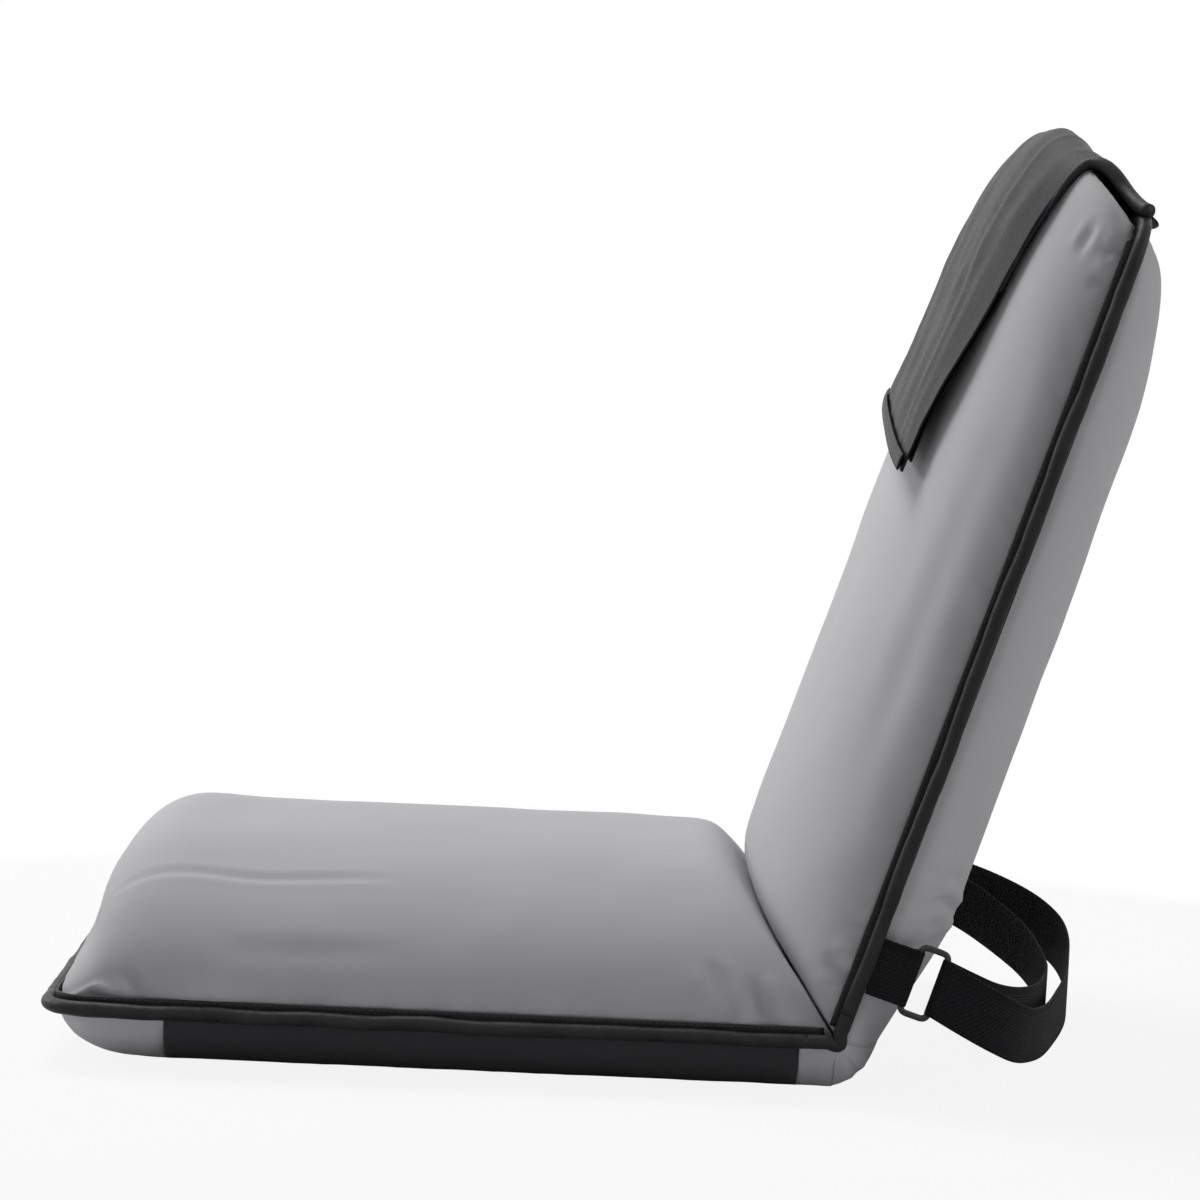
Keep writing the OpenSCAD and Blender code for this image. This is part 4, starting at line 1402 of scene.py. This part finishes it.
@dataclass
class HeadFlap:
    """The coated flap over the top: its cloth, lining, hem and seam.

    It narrows by a taper towards its hem, and past a distance from the top it hangs free of the crown:
    flatter, and a little off it.
    """

    half: float = 0.195
    root: float = 0.2292
    drop: float = 0.200
    tail: float = -0.002
    off: float = 0.0020
    thick: float = 0.0016
    crown: float = 0.083
    swell: float = 0.052
    end_power: int = 16
    onset: float = 2.0
    taper: float = 0.045
    taper_from: float = 0.03
    taper_run: float = 0.18
    free_from: float = 0.085
    free_run: float = 0.105
    free_flat: float = 0.5
    free_lift: float = 0.003
    side_less: float = 0.012
    hem: float = 0.010
    slant: float = 0.022
    hem_off: float = 0.0031
    folds: tuple[tuple[float, float, float], ...] = (
        (0.160, 0.012, 0.0016), (0.116, 0.010, 0.0018), (0.060, 0.016, 0.0012), (-0.030, 0.018, 0.0013),
        (-0.110, 0.013, 0.0016), (-0.165, 0.012, 0.0015))

    @property
    def hem_at(self) -> float:
        """Distance of the hem's band off the covers."""
        return self.off + self.thick + self.hem_off

    def over(self, off: float) -> float:
        """Half length of the outline that the flap goes over."""
        return BACK_PLAN.reach + END_ROOM + off

    def share(self, down: float, off: float) -> float:
        """Share along the outline at a distance down from the top."""
        return (BACK_PLAN.length - down - BACK_PLAN.middle) / self.over(off)

    def rows(self, off: float, start: float, stop: float, count: int) -> Array:
        """Profile shares: from the front hem, over the top, to the tail.

        Args:
            off: Distance off the covers.
            start: Distance down in front where the rows start.
            stop: Distance down behind where they stop.
            count: Number of rows.

        Returns:
            Signed shares: up to 1 in front, and 2 minus the share behind.
        """
        front, rear = self.share(start, off), min(1.0, self.share(stop, off))
        v = end_shares(500, 2.6)
        signed = np.concatenate([front + (1 - front) * v, 2 - (rear + (1 - rear) * v[::-1][1:])])
        profile = self.point(np.zeros_like(signed), signed, off)
        run = run_along(profile)
        return np.interp(np.linspace(0, run[-1], count), run, signed)

    def point(self, c: Array, signed: Array, off: float) -> Array:
        """Points of the flap in the backrest's frame.

        Args:
            c: Shares of the flap's half width.
            signed: Shares along it, as rows() gives them.
            off: Distance off the covers.

        Returns:
            The points; near its hem the flap hangs flatter than the cushion's crown.
        """
        front = signed <= 1
        v = np.where(front, signed, 2 - signed)
        q = crown_share(0 * v, np.clip(v, 0, None), self.end_power, self.end_power)
        wide = np.where(front, self.half + (self.root - self.half) * np.clip(1 - 1.5 * q, 0, None), self.root)
        y = BACK_PLAN.middle + v * self.over(off)
        taper = self.taper * np.clip((BACK_PLAN.length - self.taper_from - y) / self.taper_run, 0, 1)
        x = c * (wide - np.where(front, taper, 0))
        u = x / (COVER_HALF + off)
        away = eased((BACK_PLAN.length - self.free_from - y) / self.free_run)
        side = crown_share(u, 0 * u, 3, 3)
        side = side + (1.0 - side) * (self.free_flat * away)
        height = (self.crown + off + self.free_lift * away) * side
        z = np.where(front, height * crown_share(0 * v, v, self.end_power, self.end_power),
                     -(rear_depth(y) + off) * crown_share(u, v, 4, 6))
        less = self.side_less * eased((np.abs(c) - 0.2) / 0.7)
        swell = swell_at(u, v, self.swell + off - less, self.end_power, self.onset)
        y = y + np.where(front, swell, 0.0)
        return np.stack([x, y, z], axis=-1)

    def lowered(self, c: Array, signed: Array, off: float) -> Array:
        """Stretch the front rows so that the hem slants, lower on the right than on the left."""
        top = self.share(0.06, off)
        start = self.share(self.drop, off)
        shift = -(self.slant * c) / self.over(off)
        return signed + shift * np.clip((top - signed) / (top - start), 0, 1.1)

    def layer(self, name: str, off: float, thick: float, start: float, stop: float, width: float,
              rows: int, cols: int, seed: int) -> Piece:
        """Make one layer of the flap.

        Args:
            name: The piece's name.
            off: Distance of its under face off the covers.
            thick: Its thickness.
            start: Distance down in front where it starts.
            stop: Distance down behind where it stops.
            width: Its share of the flap's width.
            rows: Rows along it.
            cols: Columns across it.
            seed: Seed of its unevenness.

        Returns:
            The closed layer.
        """
        signed = self.rows(off, start, stop, rows)
        cc = np.broadcast_to(np.linspace(-width, width, cols), (rows, cols))
        ss = self.lowered(cc, np.broadcast_to(signed[:, None], (rows, cols)), off)
        grid = self.point(cc, ss, off)
        normal = normals_of(grid)
        if normal[rows // 3, cols // 2, 2] < 0:
            normal = -normal
        front = np.clip((1.0 - ss) / 0.12, 0, 1)
        push = 0.0009 * lumps(rows, cols, (10, 8), seed) + 0.0009
        for place, wide, depth in self.folds:
            drift = place + 0.010 * np.sin(ss * 7 + place * 40) - 0.02 * place * (1 - front)
            size = wide * (0.7 + 0.6 * front)
            near_hem = 1 - 0.6 * np.clip((self.share(start, off) + 0.10 - ss) / 0.10, 0, 1)
            push = push + depth * np.exp(-(((cc * self.half - drift) / size) ** 2)) * near_hem * (
                0.25 + 0.75 * front)
        upper = grid + normal * (push + thick)[..., None]
        lower = grid + normal * push[..., None]
        return closed_cloth(name, upper, lower, Half.BACK)

    def build(self, dresser: Dresser) -> None:
        """Make and dress the flap's pieces."""
        cloth = self.layer("head_flap_cloth", self.off, self.thick, self.drop, self.tail, 1.0,
                           150, 131, 41)
        dresser.dress(cloth, FLAP_CLOTH, None, ("head_flap",))
        lining = self.layer("head_flap_lining", -0.0016, 0.0012, self.drop - 0.007, self.tail - 0.002,
                            0.98, 120, 91, 43)
        dresser.dress(lining, FLAP_CLOTH)
        hem = self.band("flap_hem_band", self.drop, self.drop - self.hem, self.hem_at)
        dresser.dress(hem, FLAP_CLOTH, None, ("flap_hem",))
        seam = self.hem_stitches()
        dresser.dress(seam, THREAD)
        rolls = [self.edge_roll(side) for side in (-1, 1)]
        for roll in rolls:
            dresser.dress(roll, BINDING)
        tail = self.band("flap_tail_seam", -0.0045, -0.0005, 0.0004, 0.0010)
        dresser.dress(tail, FLAP_CLOTH, "backrest", ("flap_seam_strip",))
        for piece in (cloth, lining, hem, seam, *rolls):
            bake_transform(piece)

    def edge_roll(self, side: int) -> Piece:
        """Roll the flap's bound edge from the corner of the top seam to its crest."""
        q = np.concatenate([np.linspace(0.0, 0.7, 30), np.linspace(0.72, 0.995, 30)])
        v = (1 - q**2) ** (1 / 16)
        path = self.point(np.full(60, side * 1.0), v, self.off + self.thick / 2)
        path[:, 1] -= 0.002
        path[:, 0] += side * 0.014 * (1 - eased(q / 0.35))
        path = even(path, 60)
        sizes = 0.18 + 0.82 * (1 - eased((np.linspace(0, 1, 60) - 0.25) / 0.5))
        ahead = heading(path)
        across = unit(np.cross(ahead, UP))
        return swept(side_name("flap_edge_roll", side), path, across, np.cross(ahead, across),
                     round_section(0.0052, 14), sizes, half=Half.BACK)

    def band(self, name: str, from_down: float, to_down: float, off: float,
             thick: float = 0.0011) -> Piece:
        """Make a narrow band across the flap; negative distances lie behind the top."""
        cols = 131
        c = np.linspace(-0.998, 0.998, cols)
        faces = []
        for extra in (thick, 0.0):
            rows = []
            for down in np.linspace(from_down, to_down, 7):
                v = self.share(abs(down), off)
                signed = np.full(cols, v if down > 0 else 2 - v)
                if down > 0:
                    signed = self.lowered(c, signed, off)
                grid = self.point(c, signed, off)
                out = 1.0 if down > 0 else -1.0
                roll = sin(pi * (down - from_down) / (to_down - from_down)) * 0.0007 if extra else 0.0
                grid[:, 2] += out * (extra + roll)
                rows.append(grid)
            faces.append(np.array(rows))
        return closed_cloth(name, *faces, Half.BACK)

    def hem_stitches(self) -> Piece:
        """Sew the hem's thread just inside its upper edge."""
        off = self.hem_at
        c = np.linspace(-0.98, 0.98, 160)
        signed = np.full(160, self.share(self.drop - self.hem + 0.0018, off))
        grid = self.point(c, self.lowered(c, signed, off), off)
        grid[:, 2] += 0.0013
        outs = np.repeat(UP, 160, axis=0)
        return stitches("flap_hem_stitches", grid, outs, 0.0042, 0.0029, 0.00036, Half.BACK)


@dataclass
class CarryStrap:
    """The webbing loop behind the backrest: stubs, rings and the two layers."""

    stub_x: float = 0.2568
    stub_at: float = 0.058
    width: float = 0.040
    thick: float = 0.0018
    reach: float = 0.130
    low: float = 0.0203
    off: float = 0.0032
    bar_z: float = -0.031
    rear_bar_z: float = -0.052
    bar_r: float = 0.002
    half_ring: float = 0.0235
    outer: tuple = ((1, 0, 1), (.985, .17, .79), (.925, .34, .57), (.81, .49, .37), (.63, .62, .25),
                    (.41, .745, .19), (.17, .86, .2), (-.08, .96, .28), (-.32, 1.01, .42), (-.53, .98, .58),
                    (-.71, .83, .75), (-.86, .52, .95), (-.96, .22, 1.03), (-1, 0, 1))
    inner: tuple = ((1, 0, 1), (.965, .15, .84), (.88, .3, .67), (.74, .45, .53), (.55, .59, .42),
                    (.33, .71, .35), (.1, .785, .35), (-.14, .8, .42), (-.36, .74, .55), (-.56, .62, .7),
                    (-.74, .46, .85), (-.87, .28, .96), (-.955, .13, 1.01), (-1, 0, 1))

    def ribbon(self, name: str, shares: tuple, off: float) -> Piece:
        """Make one layer of the loop.

        Args:
            name: The piece's name.
            shares: Its route, as shares of the half width, the reach and the height.
            off: Distance of its middle from the rings' plane.

        Returns:
            The webbing, with rounded woven edges.
        """
        s, c = sin(RECLINE), cos(RECLINE)
        bar_y = self.stub_at * s - self.rear_bar_z * c
        bar_up = self.stub_at * c + self.rear_bar_z * s + HINGE_Z
        route = np.array(shares)
        line = np.stack([route[:, 0] * (self.stub_x + off), HINGE_Y + bar_y + route[:, 1] * self.reach,
                         self.low + route[:, 2] * (bar_up - self.low)], axis=1)
        line = curved(line, 14)
        if off > 0:
            line = np.vstack([self.wrap(1)[::-1], line[1:-1], self.wrap(-1)])
        line = even(line, 200)
        lean = RECLINE * np.clip(line[:, 0] / (self.stub_x + off), -1, 1) ** 2
        ups = np.stack([np.zeros(len(line)), np.sin(lean), np.cos(lean)], axis=1)
        sides = unit(np.cross(np.gradient(line, axis=0), ups))
        ripple = 0.0006 * np.sin(np.linspace(0, 31, len(line))) * np.sin(np.linspace(0, pi, len(line))) ** 2
        return swept(name, line + sides * ripple[:, None], sides, ups, slab_section(self.width, self.thick))

    def wrap(self, side: int) -> Array:
        """Turn of the webbing round a ring's rear bar, from its outer side to the slot."""
        bar = placed(np.array([[side * self.stub_x, self.stub_at, self.rear_bar_z]]), Half.BACK)
        a = np.linspace(0, pi, 15)[:, None]
        return bar + self.off * (np.cos(a) * side * RIGHT - np.sin(a) * turned(-UP, Half.BACK))

    def ring(self, side: int) -> Piece:
        """Make a moulded rectangular ring with round corners and flattened bars."""
        def squared(values: Array, power: float) -> Array:
            """Bend a circle's coordinates towards a square's."""
            return np.sign(values) * np.abs(values) ** power

        a = np.linspace(0, 2 * pi, 96, endpoint=False)
        middle, half_z = (self.bar_z + self.rear_bar_z) / 2, (self.bar_z - self.rear_bar_z) / 2
        y = self.half_ring * squared(np.cos(a), 0.34)
        z = half_z * squared(np.sin(a), 0.34)
        flat = np.stack([np.full(96, side * self.stub_x), self.stub_at + y, middle + z], axis=1)
        flat = even(np.vstack([flat, flat[:1]]), 97)[:-1]
        ahead = unit(np.roll(flat, -1, axis=0) - np.roll(flat, 1, axis=0))
        t = np.arange(16) * 2 * pi / 16
        section = np.stack([self.bar_r * squared(np.cos(t), 0.6), 1.1 * self.bar_r * squared(np.sin(t), 0.6)],
                           axis=1)
        return swept(side_name("strap_ring_moulded", side), flat, RIGHT, np.cross(ahead, RIGHT), section,
                     closed=True, half=Half.BACK)

    def stub(self, side: int) -> Piece:
        """Make the webbing that comes out from under the piping and folds round the ring."""
        loop_r = self.bar_r + 0.0003 + self.thick / 2
        a = np.linspace(0, 1.62 * pi, 30)
        centre = side * self.stub_x
        curl = np.stack([centre + side * loop_r * np.cos(a), self.bar_z - loop_r * np.sin(a)], axis=1)
        out_x = side * (self.stub_x + loop_r)
        straight = np.stack([np.full(20, out_x), np.linspace(-0.0056, self.bar_z, 20)], axis=1)
        tail = np.array([[side * (self.stub_x + loop_r - 0.0019), self.bar_z + 0.004 + 0.0012 * i]
                         for i in range(8)])
        line = even(np.vstack([straight, curl[1:], tail]), 70)
        path = np.column_stack([line[:, 0], np.full(len(line), self.stub_at), line[:, 1]])
        return swept(side_name("strap_stub_webbing", side), path, np.cross(heading(path), AWAY), AWAY,
                     slab_section(self.width, self.thick), half=Half.BACK)

    def build(self, dresser: Dresser) -> None:
        """Make and dress the strap's pieces."""
        layers = (("carry_strap_outer", self.outer, self.off, "carry_strap"),
                  ("carry_strap_inner", self.inner, -self.off, "carry_strap_return"))
        for name, route, off, node in layers:
            piece = dresser.dress(self.ribbon(name, route, off), WEBBING, "strap", (node,))
            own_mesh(piece)
        for side in (-1, 1):
            dresser.dress(self.ring(side), PLASTIC, "strap", (side_name("strap_ring", side),))
            dresser.dress(self.stub(side), WEBBING, "backrest", (side_name("strap_stub", side),))


def finish_frame(dresser: Dresser) -> None:
    """Give every steel node that stays its material."""
    finishes = {
        PAINTED: ("seat_frame_tube", "seat_cross_bars", "back_frame_tube", "back_cross_bars"),
        ZINC: ("hinge_plates_left", "hinge_plates_right", "sector_left", "sector_right"),
        BRIGHT: ("pivot_rivet_left", "pivot_rivet_right", "pawl_pin_left", "pawl_pin_right",
                 "pawl_spring_left", "pawl_spring_right", "seat_tube_rivets", "back_tube_rivets",
                 "pawl_left", "pawl_right"),
    }
    for finish, names in finishes.items():
        for name in names:
            dresser.paint(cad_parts[name], finish)
    log.info("frame: %d steel nodes finished", sum(len(n) for n in finishes.values()))


@dataclass
class Studio:
    """The floor, the lamps and the camera."""

    azimuth: float = 87.855
    elevation: float = 4.906
    roll: float = 2.902
    distance: float = 2.922
    focal_px: float = 3972.0
    shift_px: tuple[float, float] = (96.4, 21.57)
    picture: float = 1200.0
    target: tuple[float, float, float] = (0.0, 0.14, 0.30)

    def camera(self) -> None:
        """Stand the camera where the photograph was taken from."""
        a, e, r = radians(self.azimuth), radians(self.elevation), radians(self.roll)
        back = Vector((sin(a) * cos(e), -cos(a) * cos(e), sin(e)))
        right = (-back).cross(Vector((0, 0, 1))).normalized()
        up = right.cross(-back)
        right, up = cos(r) * right + sin(r) * up, -sin(r) * right + cos(r) * up
        data = bpy.data.cameras.new("camera")
        data.sensor_width = 36.0
        data.lens = self.focal_px / self.picture * 36.0
        data.shift_x = -self.shift_px[0] / self.picture
        data.shift_y = self.shift_px[1] / self.picture
        made = add_object("camera", data)
        turn = Matrix((right, up, back)).transposed().to_4x4()
        made.matrix_world = Matrix.Translation(Vector(self.target) + back * self.distance) @ turn
        bpy.context.scene.camera = made

    @staticmethod
    def lamp(name: str, place: tuple, aim: tuple, size: float, power: float) -> None:
        """Hang one soft lamp."""
        data = bpy.data.lights.new(name, "AREA")
        data.shape, data.size, data.energy = "DISK", size, power
        made = add_object(name, data)
        made.location = place
        made.rotation_mode = "QUATERNION"
        made.rotation_quaternion = (Vector(aim) - Vector(place)).to_track_quat("-Z", "Y")

    @staticmethod
    def backdrop() -> None:
        """Light the world softly and show it white behind the object."""
        world = bpy.data.worlds.new("studio")
        world.use_nodes = True
        bpy.context.scene.world = world
        g = Graph(world.node_tree)
        world.node_tree.nodes.clear()
        path = g.add("LightPath")
        seen = g.math("MAXIMUM", path.outputs["Is Camera Ray"],
                      g.math("MAXIMUM", path.outputs["Is Glossy Ray"], path.outputs["Is Transmission Ray"]))
        dim = g.add("Background", Color=(0.95, 0.97, 1.0, 1.0), Strength=0.1)
        white = g.add("Background", Color=(1.0, 1.0, 1.0, 1.0), Strength=1.0)
        shown = g.add("MixShader", i0=seen, i1=dim.outputs[0], i2=white.outputs[0])
        g.add("OutputWorld", Surface=shown.outputs[0])

    @staticmethod
    def floor() -> None:
        """Lay a pale floor that fades into the backdrop and keeps the shadow."""
        middle, sides = (0.0, 0.14, 0.0), 48
        points, faces = [middle], []
        for i, r in enumerate((0.5, 1.0, 2.0, 4.0, 7.0)):
            turns = [2 * pi * k / sides for k in range(sides)]
            points += [(r * cos(t), middle[1] + r * sin(t), 0.0) for t in turns]
            for k in range(sides):
                a, b = 1 + sides * i + k, 1 + sides * i + (k + 1) % sides
                faces.append((0, a, b) if i == 0 else (a - sides, a, b, b - sides))
        ground = mesh_object("floor", np.array(points) - (0, 0, 0.0003), faces)
        made, g = new_material("pale_floor")
        noise = g.add("TexNoise", Scale=70.0, Detail=3.0).outputs[0]
        base = g.mix(noise, (0.86, 0.86, 0.86, 1.0), (0.9, 0.9, 0.9, 1.0))
        matte = g.add("BsdfPrincipled", Base_Color=base, Roughness=0.8)
        glow = g.add("Emission", Color=(1.0, 1.0, 1.0, 1.0), Strength=1.0)
        place = g.add("TexCoord").outputs["Object"]
        away = g.add("VectorMath", {"operation": "DISTANCE"}, i0=place, i1=middle).outputs["Value"]
        path = g.add("LightPath")
        fade = g.times(g.spread(away, 0.4, 0.9), path.outputs["Is Camera Ray"])
        lift = g.math("MAXIMUM", fade, g.times(path.outputs["Is Camera Ray"], 0.88))
        shown = g.add("MixShader", i0=lift, i1=matte.outputs[0], i2=glow.outputs[0])
        g.add("OutputMaterial", Surface=shown.outputs[0])
        ground.data.materials.append(made)

    def build(self) -> None:
        """Set the camera, lamps, floor and backdrop."""
        bpy.context.scene.view_settings.view_transform = "Standard"
        self.camera()
        self.backdrop()
        self.floor()
        self.lamp("overhead", (-0.75, -0.7, 2.5), (0.0, 0.1, 0.2), 1.5, 36.0)
        self.lamp("front", (-1.3, -2.3, 1.3), (0.0, 0.2, 0.3), 1.3, 19.0)
        self.lamp("behind", (0.9, 2.6, 1.2), (0.0, 0.3, 0.3), 1.4, 12.0)


SEAT_CORNER = Stroke(((0.300, 0.490), (0.288, 0.505), (0.302, 0.520)), 0.004, 0.0038, 0.9)
SEAT_HINGE = Stroke(((0.310, 0.030), (0.285, 0.052), (0.262, 0.060)), 0.006, 0.0045, 0.7)
SEAT_BULGE = Stroke(((0.318, 0.018), (0.300, 0.030)), 0.011, -0.0055, 0.1)
SEAT_STROKES = (
    Stroke(((0.178, 0.307), (0.184, 0.40), (0.182, 0.499)), 0.005, 0.0016, 0.4),
    Stroke(((0.168, 0.505), (0.190, 0.520)), 0.004, 0.0018),
    Stroke(((0.254, 0.30), (0.258, 0.42)), 0.008, 0.0010),
    SEAT_CORNER,
    Stroke(((0.292, 0.470), (0.270, 0.485)), 0.004, 0.0020),
    SEAT_HINGE,
    SEAT_BULGE,
    Stroke(((0.280, 0.075), (0.250, 0.088)), 0.006, 0.0022, 0.6),
    Stroke(((-0.180, 0.280), (-0.186, 0.46)), 0.005, 0.0016, 0.4),
    SEAT_CORNER.mirrored(0.0035),
    SEAT_HINGE.mirrored(),
    SEAT_BULGE.mirrored(-0.0050),
)
BACK_FOLDS = (
    Stroke(((0.300, 0.074), (0.285, 0.082), (0.270, 0.080)), 0.0035, 0.0022, 0.6),
    Stroke(((0.306, 0.030), (0.285, 0.045), (0.262, 0.050)), 0.006, 0.0040, 0.7),
    Stroke(((0.300, 0.560), (0.285, 0.545), (0.268, 0.540)), 0.005, 0.0026, 0.7),
    Stroke(((0.250, 0.578), (0.246, 0.556)), 0.005, 0.0018, 0.6),
)
BACK_STROKES = (
    *BACK_FOLDS[:3],
    Stroke(((0.288, 0.572), (0.270, 0.562)), 0.0045, 0.0024, 0.7),
    BACK_FOLDS[3],
    Stroke(((0.230, 0.16), (0.236, 0.42)), 0.014, 0.0014, 0.4),
    *(fold.mirrored() for fold in BACK_FOLDS),
)
REAR_FOLDS = (
    Stroke(((0.262, 0.100), (0.235, 0.112), (0.200, 0.104), (0.150, 0.098)), 0.0045, 0.0032, 0.8),
    Stroke(((0.262, 0.124), (0.238, 0.130), (0.205, 0.124)), 0.004, 0.0026, 0.8),
)
REAR_STROKES = (
    *REAR_FOLDS,
    Stroke(((0.255, 0.070), (0.215, 0.082)), 0.005, 0.0022, 0.7),
    *(fold.mirrored() for fold in REAR_FOLDS),
    Stroke(((0.250, 0.44), (0.225, 0.43)), 0.005, 0.0014, 0.6),
)


def main() -> None:
    """Build every sub-assembly in order and report each piece."""
    logging.basicConfig(level=logging.INFO, format="%(message)s")
    dresser = Dresser()
    Studio().build()
    finish_frame(dresser)
    Cushion("seat_cushion", Half.SEAT, SEAT_PLAN, 0.104, ("seat_top_cover", "seat_foam"), 0.85, SEAT_STROKES,
            seed=7, dip=0.0075, shoulder=0.0055).build(dresser)
    Cushion("back_cushion", Half.BACK, BACK_PLAN, 0.079, ("back_front_cover", "back_foam"), 0.8, BACK_STROKES,
            seed=9, end_power=16.0, swell=0.059).build(dresser)
    RearCushion(strokes=REAR_STROKES).build(dresser)
    Underside().build(dresser)
    Edging(Half.SEAT, SEAT_PLAN, "seat", seed=5).build(dresser)
    Edging(Half.BACK, BACK_PLAN, "back", seed=6).build(dresser)
    HingeCloth().build(dresser)
    HeadFlap().build(dresser)
    CarryStrap().build(dresser)
    bpy.context.view_layer.update()


if __name__ == "__main__":
    main()
